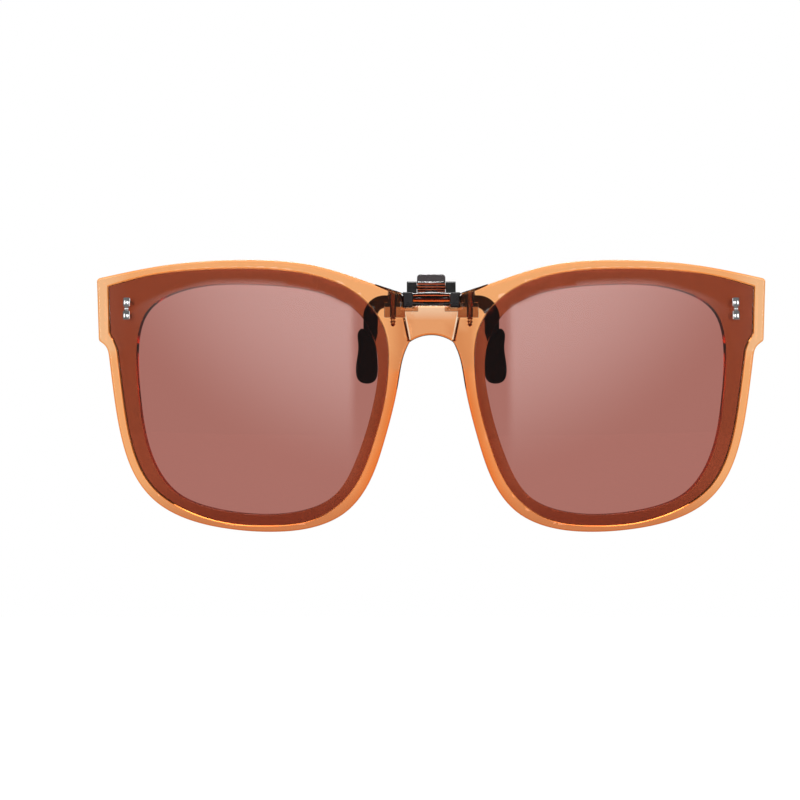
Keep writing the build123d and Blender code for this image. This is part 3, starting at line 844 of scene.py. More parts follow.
@dataclass
class AmberFrame:
    """The one-piece frame: rims, bridge and every recess and pocket in it."""

    shell: Shell
    lens: TintedLens
    thickness: float = 3.6
    edge_round: float = 0.5
    rim_round: float = 0.14
    cell: float = 3.0
    notch: Point = (6.4, 10.5)
    notch_step: Point = (3.85, 10.95)
    arch_z: float = 4.5
    keystone_top: float = 6.3
    keystone_foot: Point = (4.75, 2.9)
    keystone_panel: float = 1.7
    keystone_draft: float = 0.45
    keystone_foot_round: float = 0.4
    keystone_over: float = 0.8
    notch_lean: float = 0.1
    wing_fade: Range = (67.0, 71.0)
    wing_foot: float = 1.0
    nose_reach: float = 4.2
    nose_fade: Range = (9.0, 0.0)
    post_fade: Range = (10.0, 8.0)
    post_z: Range = (-3.0, 8.0)
    foot_fade: Range = (-27.0, -36.0)
    floor_fade: Range = (8.5, 11.5)
    clear_fade: float = 0.3
    hollow_low: float = 2.0
    arch_top: float = 10.0
    skin: float = 0.6
    wall_start: float = 9.0
    wall_facing: float = 0.6
    edge_facing: float = 0.975
    arch_facing: float = 0.99
    leg_x: Range = (5.75, 10.35)
    leg_z: Range = (8.35, 11.75)
    neck_x: Range = (7.25, 9.55)
    neck_top: float = 16.0
    pocket_y: float = -9.05
    top: tuple[Point, ...] = (
        (6.4, 13.55), (14.3, 16.35), (25.4, 19.8), (40.8, 21.15), (58.4, 20.1), (73.3, 17.3),
    )
    corner: tuple[Point, ...] = ((73.3, 17.3), (73.85, 16.9), (73.95, 16.2))
    step: tuple[Point, ...] = ((73.5, 3.4), (71.9, 2.1), (71.15, -0.6))
    under: tuple[Point, ...] = (
        (71.15, -0.6), (70.15, -8.4), (68.2, -19.0), (65.15, -26.9), (60.7, -32.2), (53.1, -36.2),
        (44.5, -38.1), (34.4, -38.7), (25.3, -37.5), (18.75, -34.3), (14.3, -29.0), (10.4, -19.0),
        (7.2, -5.7), (5.75, 0.9), (4.85, 2.9),
    )
    aperture: tuple[Point, ...] = (
        (65.4, 0.0), (63.0, 10.05), (53.8, 15.0), (39.5, 15.9), (25.7, 14.3), (16.8, 10.1),
        (12.1, 1.5), (12.65, -9.7), (16.65, -22.9), (21.7, -31.0), (30.5, -34.6), (39.5, -35.0),
        (48.3, -33.75), (56.75, -30.2), (62.0, -22.7), (64.8, -9.7),
    )

    def outline(self) -> list[Point]:
        """The whole outer edge, with the notch at the top and the nose arch below.

        Returns:
            The closed outline, in x and z.
        """
        foot_x, foot_z = self.under[-1]
        arch = arc((foot_x, foot_z), (0, self.arch_z), (-foot_x, foot_z), 24)
        half, level = self.notch_step
        right = [(0.0, level), (half, level), (half + self.notch_lean, self.notch[1]), self.notch]
        right += flowing(self.top)
        right += arc(*self.corner, 6)[1:]
        right += flowing(self.step, 0.6)
        right += flowing(self.under)[1:]
        right += arch[1:13]
        return mirrored_outline(right)

    def build(self, holes: Callable[[], Object], pilot: Callable[[], Object]) -> Object:
        """The whole frame.

        Args:
            holes: makes the cutter of the right ornament's holes.
            pilot: makes the cutter of the right screw's thread.

        Returns:
            The finished frame.
        """
        body = outline_solid("frame_moulding", self.outline(), (0, self.thickness))
        soften(body, self.edge_round, 4)
        work(body, Joinery.CUT, *both_sides(self.lens.recess_tool))
        work(body, Joinery.CUT, *both_sides(self.aperture_tool), self.keystone_tool())
        soften(body, self.rim_round, 2, 62)
        slice_grid(body, self.cell)
        self.shell.curve(body)
        for tool in (self.leg_tool, self.neck_tool, pilot, holes):
            work(body, Joinery.CUT, *both_sides(tool))
        # paints the frame's painted shade and painted light into its colour
        paint(settle(body), self.tone_and_painted_light)
        return body

    def tone_and_painted_light(self, place: Vector, normal: Vector) -> Colour:
        """The colour painted at a place: the amber's tone, with painted shade and painted light laid
        into it.

        Args:
            place: a corner of a face.
            normal: the face's normal.

        Returns:
            The share of each colour that the surface lets through, painted shade and light included.
        """
        x, z = abs(place.x), place.z
        centre = Vector((0, self.shell.apex + self.shell.radius, self.shell.middle_z))
        depth = self.shell.radius - (place - centre).length
        # inside the bridge's hollow the painted shade and light are the hollow's own
        if self.hollow_half(z) + 0.1 > x and z > self.hollow_low and depth > self.skin:
            return self.hollow_shade_and_light(depth, z, normal)
        tone_and_painted_light = blended(BAND_TINT, WING_TINT, part(x, self.wing_fade) if z > self.wing_foot else 0)
        # painted shade, deeper towards the nose
        nose_edge = float(np.interp(-z, [-pz for _, pz in self.nose], [px for px, _ in self.nose]))
        near_nose = 1 - (x - nose_edge) / self.nose_reach
        tone_and_painted_light = blended(tone_and_painted_light, PAINTED_NOSE_SHADE, near_nose * part(z, self.nose_fade))
        # painted shade beside the bridge
        beside_bridge = self.post_z[0] < z < self.post_z[1]
        tone_and_painted_light = blended(tone_and_painted_light, PAINTED_POST_SHADE, part(x, self.post_fade) if beside_bridge else 0)
        # painted light: the front of the bridge's thin panel is left clear, fading out just beside it
        clear = self.hollow_half(z)
        in_bridge = z > self.hollow_low
        tone_and_painted_light = blended(tone_and_painted_light, CLEAR_PAINTED_LIGHT, part(x, (clear + self.clear_fade, clear)) if in_bridge else 0)
        # painted shade, darker towards the bottom
        tone_and_painted_light = blended(tone_and_painted_light, PAINTED_FOOT_SHADE, part(z, self.foot_fade))
        facing = abs(normal.dot((place - centre).normalized()))
        # painted shade on the lens's bed, deeper near the nose
        if abs(depth - self.lens.recess) < 0.05 and normal.y < -0.5:
            bed = blended(PAINTED_BED_SHADE, PAINTED_NOSE_BED_SHADE, near_nose if z < self.nose_fade[0] else 0)
            return tuple(a * b for a, b in zip(tone_and_painted_light, bed))
        # painted shade on the recess walls that face away from the lens's middle
        inwards = normal.x * (x - self.lens.centre[0]) * (1 if place.x > 0 else -1)
        inwards += normal.z * (z - self.lens.centre[1])
        behind_lens = depth > self.lens.recess - 0.1 and x > self.wall_start
        if facing < self.wall_facing and behind_lens and inwards < 0:
            return PAINTED_WALL_SHADE
        # painted shade on the edges of the nose arch
        if x < self.hollow_half(z) and z < self.arch_top and facing < self.arch_facing:
            return PAINTED_ARCH_EDGE_SHADE
        # painted shade on every other edge and wall that doesn't face out of the shell
        if facing < self.edge_facing:
            return tuple(a * b for a, b in zip(tone_and_painted_light, PAINTED_EDGE_SHADE))
        return tone_and_painted_light

    def hollow_half(self, z: float) -> float:
        """Half the width of the bridge's hollow at a height.

        Args:
            z: the height.

        Returns:
            The half width.
        """
        foot_x, foot_z = self.keystone_foot
        rise = min(1.0, (z - foot_z) / (self.notch[1] - foot_z))
        return foot_x + (self.keystone_top - foot_x) * rise

    def hollow_shade_and_light(self, depth: float, z: float, normal: Vector) -> Colour:
        """The painted light and shade inside the bridge's hollow: painted shade on the floor, a clear
        painted highlight along the foot, painted shade on the wall.

        Args:
            depth: how far under the front face the place lies.
            z: its height.
            normal: the face's normal.

        Returns:
            The share of each colour that the surface lets through.
        """
        # painted shade on the hollow's floor, fading into the band's tone upwards
        if depth < self.keystone_panel + 0.04 and abs(normal.x) < 0.2:
            floor = tuple(share * share for share in PAINTED_KEYSTONE_SHADE)
            return blended(floor, BAND_TINT, part(z, self.floor_fade))
        # a clear painted highlight along the foot's rounding, painted shade on the wall
        foot_end = self.keystone_panel + self.keystone_foot_round + 0.02
        return CLEAR_PAINTED_LIGHT if depth < foot_end else PAINTED_WALL_SHADE

    @property
    def nose(self) -> list[Point]:
        """The part of the outer edge beside the nose, from the top down."""
        return [point for point in reversed(self.under) if point[0] < 26]

    def aperture_tool(self) -> Object:
        """The cutter of the right see-through opening."""
        tool = outline_solid("aperture", flowing(self.aperture, 0.9, closed=True), (-2, 6))
        return self.shell.draft(tool)

    def keystone_tool(self) -> Object:
        """The cutter of the hollow behind the bridge's thin panel.

        Returns:
            The cutter.
        """
        foot_x, foot_z = self.keystone_foot
        top_z = self.notch_step[1] + self.keystone_over
        corners = [(-foot_x, foot_z), (foot_x, foot_z), (self.keystone_top, self.notch[1])]
        corners += [(self.keystone_top, top_z), (-self.keystone_top, top_z)]
        corners += [(-self.keystone_top, self.notch[1])]
        tool = outline_solid("keystone", corners, (self.keystone_panel, self.thickness + 0.4))
        for vertex in tool.data.vertices:
            if vertex.co.y > self.thickness * MM:
                vertex.co.x += self.keystone_draft * MM * (1 if vertex.co.x > 0 else -1)
        foot = self.keystone_foot_round
        return soften(tool, foot, 2, 60)

    def leg_tool(self) -> Object:
        """The cutter of the right pocket for the saddle's leg."""
        return block("leg_pocket", self.leg_x, (self.pocket_y, 2), self.leg_z)

    def neck_tool(self) -> Object:
        """The cutter of the right pocket for the saddle's neck."""
        height = (self.leg_z[0] + 1, self.neck_top)
        return block("neck_pocket", self.neck_x, (self.pocket_y, 2), height)


@dataclass
class CornerOrnament:
    """Two short upright barrels with a bead between them, riveted through the corner."""

    shell: Shell
    place: Point = (67.4, 10.5)
    width: float = 1.6
    height: float = 4.9
    barrel: float = 2.0
    proud: float = 0.55
    shank_radius: float = 0.45
    shank_reach: Range = (-4.4, 0.1)
    shank_offset: float = 1.5
    bead: float = 0.52
    waist_radius: float = 0.34
    crown: float = 0.14
    sunk: float = 0.27
    seat: float = 0.25

    def seated(self, piece: Object) -> Object:
        """Moves a piece made at the origin to its place on the right corner.

        Args:
            piece: the piece, face upwards along z.

        Returns:
            The piece.
        """
        take(piece)
        piece.matrix_world = self.shell.seat(*self.place)
        bpy.ops.object.transform_apply(location=True, rotation=True, scale=True)
        return piece

    def holes(self) -> Object:
        """The cutter of the two shank holes.

        Returns:
            The cutter.
        """
        spots = (self.shank_offset, -self.shank_offset)
        radius = self.shank_radius + PLAY
        pair = [rod("hole", Axis.Z, radius, (-BEYOND, 4), (0, y), 32) for y in spots]
        return self.seated(work(pair[0], Joinery.ADD, pair[1]))

    def build(self) -> Object:
        """The right ornament.

        Returns:
            The finished ornament.
        """
        half, tip = self.width / 2, self.height / 2
        inner = tip - self.barrel
        crown = self.crown
        top = [(inner, 0), (inner, half - crown), (inner + crown, half), (tip - crown, half)]
        top += [(tip, half - crown), (tip, 0)]
        low = [(-y, radius) for y, radius in reversed(top)]
        bead = [(self.bead * cos(tau * i / 24), self.bead * sin(tau * i / 24)) for i in range(13)]
        end, radius = inner + 0.1, self.waist_radius
        waist = [(-end, 0), (-end, radius), (end, radius), (end, 0)]
        ornament = turned("corner_rivet_right", top, Axis.Y, (0, 0), 48)
        parts = [turned("part", shape, Axis.Y, (0, 0), 48) for shape in (low, bead, waist)]
        work(ornament, Joinery.ADD, *parts)
        flatten = (self.proud - self.sunk) / half
        with editing(ornament):
            bpy.ops.transform.resize(value=(1, 1, flatten), center_override=(0, 0, 0))
        work(ornament, Joinery.KEEP, block("face_side", (-2, 2), (-4, 4), (-0.05, 2)))
        for side in (1, -1):
            spot = (0, side * self.shank_offset)
            shank = rod("shank", Axis.Z, self.shank_radius, self.shank_reach, spot)
            work(ornament, Joinery.ADD, shank)
        with editing(ornament):
            bpy.ops.transform.translate(value=(0, 0, -self.seat * MM))
        return settle(self.seated(ornament))


# ---------------------------------------------------------------- the flip hinge
@dataclass
class HingeSaddle:
    """The clear smoke saddle: cheeks, legs, necks, feet and the strips on the top edge."""

    amber: AmberFrame
    screws: "SaddleScrews"
    axis: Point = (-5.2, 12.7)
    knuckle_radius: float = 1.32
    knuckle_x: Range = (4.4, 6.25)
    cover_x: Range = (4.1, 6.25)
    cheek_front: float = -9.3
    cheek_foot: float = 10.6
    cover_drop: float = 0.15
    cover_gap: float = 1.2
    web_y: Range = (-8.2, -6.8)
    web_z: Range = (10.75, 11.3)
    foot_x: Range = (2.9, 5.95)
    foot_y: Range = (-8.3, -7.0)
    foot_z: Range = (9.7, 10.9)
    bore: float = 0.53
    play: float = 0.05
    back: float = -6.6
    front: float = -9.0
    neck_foot: float = 11.0
    neck_rise: float = 0.2
    strip_rise: float = 0.24
    strip_taper: float = 0.6
    strip_reach: float = 13.3
    strip_start: Range = (5.4, 6.38)
    strip_y: Range = (-9.5, -6.8)
    head_seat: float = 0.93

    def build(self) -> Object:
        """The whole saddle.

        Returns:
            The finished saddle.
        """
        right = self.cheek()
        work(right, Joinery.ADD, self.leg(), self.neck(), self.foot(), self.strip())
        left = twin(right, "saddle_left")
        web_half = self.knuckle_x[0] + self.play
        web = block("web", (-web_half, web_half), self.web_y, self.web_z)
        saddle = work(right, Joinery.ADD, web, left)
        saddle.name = saddle.data.name = "saddle_moulding"
        work(saddle, Joinery.CUT, rod("bore", Axis.X, self.bore, (-BEYOND, BEYOND), self.axis))
        x, y = self.screws.place
        seat = (self.screws.seat - PLAY, 2 * BEYOND)
        for side in (1, -1):
            hole = rod("screw_hole", Axis.Z, self.screws.radius + PLAY, (5, 2 * BEYOND),
                       (side * x, y))
            head_room = rod("head_seat", Axis.Z, self.head_seat, seat, (side * x, y))
            work(saddle, Joinery.CUT, hole, head_room)
        return settle(saddle)

    def is_deep(self, place: Vector) -> bool:
        """Whether a place is on a cheek or on a strip, where the smoke looks solid.

        Args:
            place: the middle of a face.

        Returns:
            True where the smoke looks solid.
        """
        x, z = abs(place.x), place.z
        edge = [point for point in self.amber.top if point[0] < 30]
        top_edge = float(np.interp(x, [px for px, _ in edge], [pz for _, pz in edge]))
        inner, outer = self.cover_x
        on_cheek = inner - self.play < x < outer + self.play and z > self.cheek_foot - self.play
        return on_cheek or (x > outer and z > top_edge)

    def cheek(self) -> Object:
        """The right knuckle with the plate that runs forward from it.

        Returns:
            The knuckle and its plate.
        """
        y, z = self.axis
        knuckle = rod("saddle_right", Axis.X, self.knuckle_radius, self.knuckle_x, self.axis)
        top = z + self.knuckle_radius
        plate = block("plate", self.knuckle_x, (y - self.knuckle_radius, y), (self.cheek_foot, top))
        cover_top = top - self.cover_drop
        cover = block("cover", self.cover_x, (self.cheek_front, y - self.cover_gap),
                      (self.cheek_foot, cover_top))
        soften(cover, 0.3, 3)
        return work(knuckle, Joinery.ADD, plate, cover)

    def leg(self) -> Object:
        """The right leg, which lies in the frame's pocket.

        Returns:
            The leg.
        """
        x, z = self.amber.leg_x, self.amber.leg_z
        leg = block("leg", (x[0] + self.play, x[1] - self.play), (self.front, self.back),
                    (z[0] + self.play, z[1] - self.play))
        return soften(leg, 0.15, 2)

    def neck(self) -> Object:
        """The right neck, up to just above the frame's top edge.

        Returns:
            The neck.
        """
        x = self.amber.neck_x
        top = [(px, pz + self.neck_rise) for px, pz in self.amber.top[:2]]
        slope = (top[1][1] - top[0][1]) / (top[1][0] - top[0][0])
        left, right = x[0] + self.play, x[1] - self.play
        ends = [top[0][1] + slope * (side - top[0][0]) for side in (right, left)]
        corners = [(left, self.neck_foot), (right, self.neck_foot)]
        corners += [(right, ends[0]), (left, ends[1])]
        return soften(outline_solid("neck", corners, (self.front, self.back)), 0.1, 2)

    def foot(self) -> Object:
        """The small right foot that hangs behind the bridge's panel."""
        return soften(block("foot", self.foot_x, self.foot_y, self.foot_z), 0.12, 2)

    def strip(self) -> Object:
        """The thin right strip on the frame's top edge, tapering outwards.

        Returns:
            The strip.
        """
        edge = [point for point in flowing(self.amber.top) if point[0] < self.strip_reach]
        lower = [(x, z + PLAY) for x, z in edge]
        span = (edge[0][0], edge[-1][0])
        upper = [(x, z + self.strip_rise * (1 - self.strip_taper * part(x, span))) for x, z in edge]
        near = self.strip_start[0]
        start = [(x, edge[0][1] - self.neck_rise) for x in self.strip_start]
        end = [(near, upper[0][1])]
        return outline_solid("strip", start + lower + upper[::-1] + end, self.strip_y)


@dataclass
class SaddleScrews:
    """Two pointed, threaded screws with slotted heads."""

    place: Point = (8.4, -7.95)
    top: float = 14.3
    tip: float = 6.3
    radius: float = 0.65
    head_radius: float = 0.9
    head_height: float = 0.7
    thread_top: float = 9.3
    pitch: float = 0.7
    thread_depth: float = 0.3
    point_height: float = 1.1
    head_chamfer: Point = (0.12, 0.14)
    slot_half: float = 0.15
    slot_depth: float = 0.28

    @property
    def seat(self) -> float:
        """The height of the face under the heads."""
        return self.top - self.head_height

    def thread(self, growth: float = 0.0) -> list[Point]:
        """The profile of the point and the thread, as (height, radius), a little grown or not.

        Args:
            growth: how much larger than the screw it is.

        Returns:
            Points as (height, radius), from the tip up.
        """
        profile: list[Point] = [(self.tip - growth, 0.0)]
        for turn in range(round((self.thread_top - self.tip) / self.pitch)):
            for rise, sink in ((0.12, self.thread_depth), (0.5, 0.0), (0.62, 0.0)):
                level = self.tip + (turn + rise) * self.pitch
                crest = self.radius * min(1.0, 0.4 + (level - self.tip) / self.point_height)
                profile.append((level, growth + max(0.07, crest - sink)))
        return profile

    def pilot(self) -> Object:
        """The cutter of the right screw's hole in the frame, with its thread.

        Returns:
            The cutter.
        """
        profile = self.thread(0.02)
        return turned("pilot", profile + [(self.thread_top, self.radius), (self.thread_top, 0.0)],
                      Axis.Z, self.place, 36)

    def build(self) -> Object:
        """Both screws, as one piece.

        Returns:
            The finished screws.
        """
        profile = self.thread() + [(self.seat, self.radius), (self.seat, self.head_radius)]
        down, inwards = self.head_chamfer
        profile += [(self.top - down, self.head_radius), (self.top, self.head_radius - inwards)]
        profile += [(self.top, 0.0)]
        screw = turned("saddle_screws_threaded", profile, Axis.Z, self.place, 36)
        x, y = self.place
        slot = block("slot", (x - 2, x + 2), (y - self.slot_half, y + self.slot_half),
                     (self.top - self.slot_depth, self.top + 1))
        work(screw, Joinery.CUT, slot)
        other = twin(screw, "other")
        take(screw)
        other.select_set(True)
        bpy.ops.object.join()
        return settle(screw)


@dataclass
class FlipBarrel:
    """The crowned barrel that the saddle's cheeks embrace, and its web to the front bar."""

    axis: Point = (-5.2, 12.7)
    half: float = 4.05
    end_radius: float = 1.15
    middle_radius: float = 1.4
    bore: float = 0.53
    corner: float = 0.12
    web_back: float = -3.4
    web_z: Range = (11.6, 13.5)
    rivet_x: float = 2.2
    rivet_z: float = 12.2
    rivet_hole: float = 0.53
    rivet_hole_front: float = -4.42
    glow_fade: Range = (12.6, 12.1)

    def build(self) -> Object:
        """The whole housing.

        Returns:
            The finished housing.
        """
        half, end = self.half, self.end_radius
        squeeze = 1 - self.corner / half / 2
        crown: list[Point] = [(-half, 0), (-half, end - self.corner)]
        bow = arc((-half, end), (0, self.middle_radius), (half, end), 18)
        crown += [(x * squeeze, radius) for x, radius in bow]
        crown += [(half, end - self.corner), (half, 0)]
        barrel = turned("flip_barrel", crown, Axis.X, self.axis, 48)
        web_half = half - 0.02
        web = block("web", (-web_half, web_half), (self.axis[0], self.web_back), self.web_z)
        work(barrel, Joinery.ADD, soften(web, self.corner, 2))
        work(barrel, Joinery.CUT, rod("bore", Axis.X, self.bore, (-BEYOND, BEYOND), self.axis))
        for side in (1, -1):
            spot = (side * self.rivet_x, self.rivet_z)
            hole = rod("rivet_hole", Axis.Y, self.rivet_hole, (self.rivet_hole_front, 0), spot)
            work(barrel, Joinery.CUT, hole)
        # paints the barrel's painted shade and painted glow into its colour
        paint(settle(barrel), self.tone_and_painted_light)
        return barrel

    def tone_and_painted_light(self, place: Vector, normal: Vector) -> Colour:
        """Painted shade over the middle and a painted glow towards the underside."""
        return blended(PAINTED_BARREL_SHADE, BARREL_GLOW, part(place.z, self.glow_fade))


# ---------------------------------------------------------------- the jaws
@dataclass
class Jaws:
    """The two moustache bars and the four silicone sleeves on their tips."""

    bar_near: float = 1.8
    bar_thickness: float = 1.6
    top_z: float = 13.3
    foot_z: float = 10.6
    centre_foot_z: float = 11.0
    centre_half: float = 6.4
    bend_x: float = 10.15
    bend_inner: float = 1.6
    bend_outer: float = 4.8
    tongue_x: float = 12.75
    tongue_foot: float = -4.2
    knee_z: float = 5.2
    bar_round: float = 0.28
    jaw_z: float = 15.3
    ear_x: Range = (3.2, 5.4)
    ear_radius: float = 1.25
    ear_foot: float = 11.5
    ear_front: float = 13.5
    ear_back: float = 12.6
    ear_sides: tuple[Point, Point] = ((-0.95, 0.8), (0.9, -0.86))
    bore: float = 0.53
    rivet_x: float = 2.2
    rivet_z: float = 12.2
    rivet_hole: float = 0.53
    grip: float = 1.1
    sleeve_thickness: float = 3.0
    sleeve_round: float = 0.75
    mouth: tuple[Point, Point] = ((12.2, 2.9), (15.0, 6.3))
    sleeve_path: tuple[Point, ...] = (
        (15.0, 6.3), (15.95, 5.5), (16.1, 2.7), (16.25, 0.0), (16.6, -3.2), (15.9, -5.5),
        (14.2, -6.1), (12.5, -5.5), (11.8, -3.2), (11.9, -0.2), (12.2, 2.9),
    )

    def bar_outline(self) -> list[Point]:
        """A bar: across, round both bends and down to both tongues.

        Returns:
            The closed outline, in x and z.
        """
        half = sqrt(0.5)
        outer_z, inner_z = self.top_z - self.bend_outer, self.foot_z - self.bend_inner
        outer_x, inner_x = self.bend_x + self.bend_outer, self.bend_x + self.bend_inner
        (low_x, low_z), (high_x, high_z) = self.mouth
        low_z += 0.1
        tongue_z = low_z + (high_z - low_z) / (high_x - low_x) * (self.tongue_x - low_x)
        outer = arc((self.bend_x, self.top_z),
                    (self.bend_x + self.bend_outer * half, outer_z + self.bend_outer * half),
                    (outer_x, outer_z), 20)
        inner = arc((inner_x, inner_z),
                    (self.bend_x + self.bend_inner * half, inner_z + self.bend_inner * half),
                    (self.bend_x, self.foot_z), 12)
        right = [(0.0, self.top_z)] + outer
        right += [(outer_x, self.tongue_foot), (self.tongue_x, self.tongue_foot)]
        right += [(self.tongue_x, tongue_z), (low_x, low_z), (inner_x, self.knee_z)] + inner
        right += [(self.centre_half, self.foot_z), (self.centre_half - 0.4, self.centre_foot_z)]
        return mirrored_outline(right + [(0.0, self.centre_foot_z)])

    def bar(self, name: str, front: float) -> Object:
        """A whole bar with its front face at a given y.

        Args:
            name: the piece's name.
            front: the y of its front face.

        Returns:
            The bar.
        """
        back = front + self.bar_thickness
        body = soften(outline_solid(name, self.bar_outline(), (front, back)), self.bar_round, 3)
        for side in (1, -1):
            hole = rod("rivet_hole", Axis.Y, self.rivet_hole, (front - 1, back + 1),
                       (side * self.rivet_x, self.rivet_z))
            work(body, Joinery.CUT, hole)
        return body

    def rear_bar(self) -> Object:
        """The moving jaw's bar."""
        return settle(self.bar("rear_bar_coated", self.bar_near))

    def front_bar(self) -> Object:
        """The fixed jaw's bar with the two ears that hold the jaw axle.

        Returns:
            The finished bar.
        """
        front = -self.bar_near - self.bar_thickness
        body = self.bar("front_bar_coated", front)
        work(body, Joinery.ADD, *both_sides(self.ear))
        work(body, Joinery.CUT, rod("bore", Axis.X, self.bore, (-BEYOND, BEYOND), (0, self.jaw_z)))
        return settle(body)

    def ear(self) -> Object:
        """The right ear, rising from the bar to the jaw axle.

        Returns:
            The ear.
        """
        front, back = -self.bar_near - self.bar_thickness, -self.bar_near
        front, back = front + 0.05, back - 0.05
        side_view = [(front, self.ear_foot), (front, self.ear_front)]
        side_view += [(y, self.jaw_z + rise) for y, rise in self.ear_sides]
        side_view += [(back, self.ear_back), (back, self.ear_foot)]
        ear = outline_solid("ear", side_view, self.ear_x, View.SIDE)
        work(ear, Joinery.ADD, rod("eye", Axis.X, self.ear_radius, self.ear_x, (0, self.jaw_z), 64))
        return soften(ear, 0.16, 3)

    def sleeve(self, name: str, away: int) -> Object:
        """A right sleeve.

        Args:
            name: the piece's name.
            away: 1 for the rear jaw and -1 for the front one.

        Returns:
            The finished sleeve.
        """
        sides = sorted((away * self.grip, away * (self.grip + self.sleeve_thickness)))
        skin = outline_solid(name, flowing(self.sleeve_path, 0.45), (sides[0], sides[1]))
        soften(skin, self.sleeve_round, 5)
        outer_x, gap = self.bend_x + self.bend_outer, 0.05
        bar_y = self.bar_near if away > 0 else -self.bar_near - self.bar_thickness
        socket = block("socket", (self.tongue_x - gap, outer_x + gap),
                       (bar_y - gap, bar_y + self.bar_thickness + gap), (self.tongue_foot - gap, 8))
        return settle(work(skin, Joinery.CUT, socket))


@dataclass
class SqueezeLever:
    """The tab that is squeezed, with its ridged barrel and the web to the rear bar."""

    jaw_z: float = 15.3
    half: float = 3.1
    radius: float = 1.25
    web_y: Range = (0.7, 1.8)
    web_foot: float = 11.0
    web_head: tuple[Point, ...] = ((0.7, -1.0), (1.1, 0.5), (1.8, -1.3))
    barrel_round: float = 0.12
    tab_half: float = 3.14
    tab_top: float = 18.1
    tab_thickness: float = 1.1
    lean: float = 25.0
    ridges: tuple[float, ...] = (-60.0, -30.0, 0.0, 30.0)
    ridge_radius: float = 0.13
    bore: float = 0.53
    slot_half: float = 1.4
    slot_radius: float = 1.04
    slot_y: Range = (-0.75, 0.6)
    tab_corner: float = 0.75
    tab_foot: float = 0.2
    tab_offset: float = 0.2
    rivet_x: float = 2.2
    rivet_z: float = 12.2
    rivet_hole: float = 0.53

    def in_groove(self, place: Vector) -> bool:
        """Whether a place lies in one of the grooves between the ridges.

        Args:
            place: the middle of a face.

        Returns:
            True inside a groove.
        """
        return any(
            sqrt((place.y - y) ** 2 + (place.z - z) ** 2) < self.ridge_radius + 0.02
            for y, z in self.grooves()
        )

    def grooves(self) -> list[Point]:
        """The middle of each groove, in y and z."""
        turns = [radians(turn) for turn in self.ridges]
        return [(-self.radius * cos(turn), self.jaw_z + self.radius * sin(turn)) for turn in turns]

    def tab(self) -> Object:
        """The leaning tab with its rounded top corners.

        Returns:
            The tab.
        """
        corner, top = self.tab_corner, self.tab_top - self.jaw_z
        quarter = [(self.tab_half - corner + corner * sin(a), top - corner + corner * cos(a))
                   for a in (tau / 4 * i / 8 for i in range(9))]
        right = [(0.0, top)] + quarter + [(self.tab_half, self.tab_foot), (0.0, self.tab_foot)]
        outline = [(x, self.jaw_z + z) for x, z in mirrored_outline(right)]
        front = self.tab_offset - self.tab_thickness / 2
        tab = soften(outline_solid("tab", outline, (front, front + self.tab_thickness)), 0.2, 3)
        slope = tan(radians(self.lean))
        for vertex in tab.data.vertices:
            vertex.co.y += (vertex.co.z - self.jaw_z * MM) * slope
        return tab

    def build(self) -> Object:
        """The whole lever.

        Returns:
            The finished lever.
        """
        z = self.jaw_z
        half, corner = self.half, self.barrel_round
        profile = [(-half, 0), (-half, self.radius - corner), (-half + corner, self.radius)]
        profile += [(-x, radius) for x, radius in reversed(profile)]
        lever = turned("lever_moulding", profile, Axis.X, (0, z), 64)
        near, far = self.web_y
        sides = [(near, self.web_foot)] + [(y, z + rise) for y, rise in self.web_head]
        web = outline_solid("web", sides + [(far, self.web_foot)], (-half, half), View.SIDE)
        work(lever, Joinery.ADD, self.tab(), web)
        for place in self.grooves():
            work(lever, Joinery.CUT, rod("ridge", Axis.X, self.ridge_radius, (-4, 4), place, 16))
        slot = (-self.slot_half, self.slot_half)
        work(
            lever,
            Joinery.CUT,
            rod("bore", Axis.X, self.bore, (-BEYOND, BEYOND), (0, z)),
            rod("coil_room", Axis.X, self.slot_radius, slot, (0, z)),
            block("slot", slot, self.slot_y, (z - 2, z)),
        )
        for side in (1, -1):
            spot = (side * self.rivet_x, self.rivet_z)
            work(lever, Joinery.CUT, rod("rivet_hole", Axis.Y, self.rivet_hole, (0.5, 3), spot))
        return settle(lever)


@dataclass
class TorsionSpring:
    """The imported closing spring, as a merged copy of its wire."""

    leg_root: Point = (-0.95, 14.08)
    leg_tip: Point = (-2.4, 13.56)

    def build(self) -> Object:
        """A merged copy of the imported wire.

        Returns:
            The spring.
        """
        wire = bpy.data.objects.new("closing_spring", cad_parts["torsion_spring"].data.copy())
        bpy.context.collection.objects.link(wire)
        settle(wire)
        wire.data.materials.clear()
        wire.data.materials.append(SPRING_STEEL.material())
        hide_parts("torsion_spring")
        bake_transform(wire)
        log.info("%s: %d faces, from rear_jaw to clip, in %s", wire.name, len(wire.data.polygons),
                 SPRING_STEEL.name)
        return wire


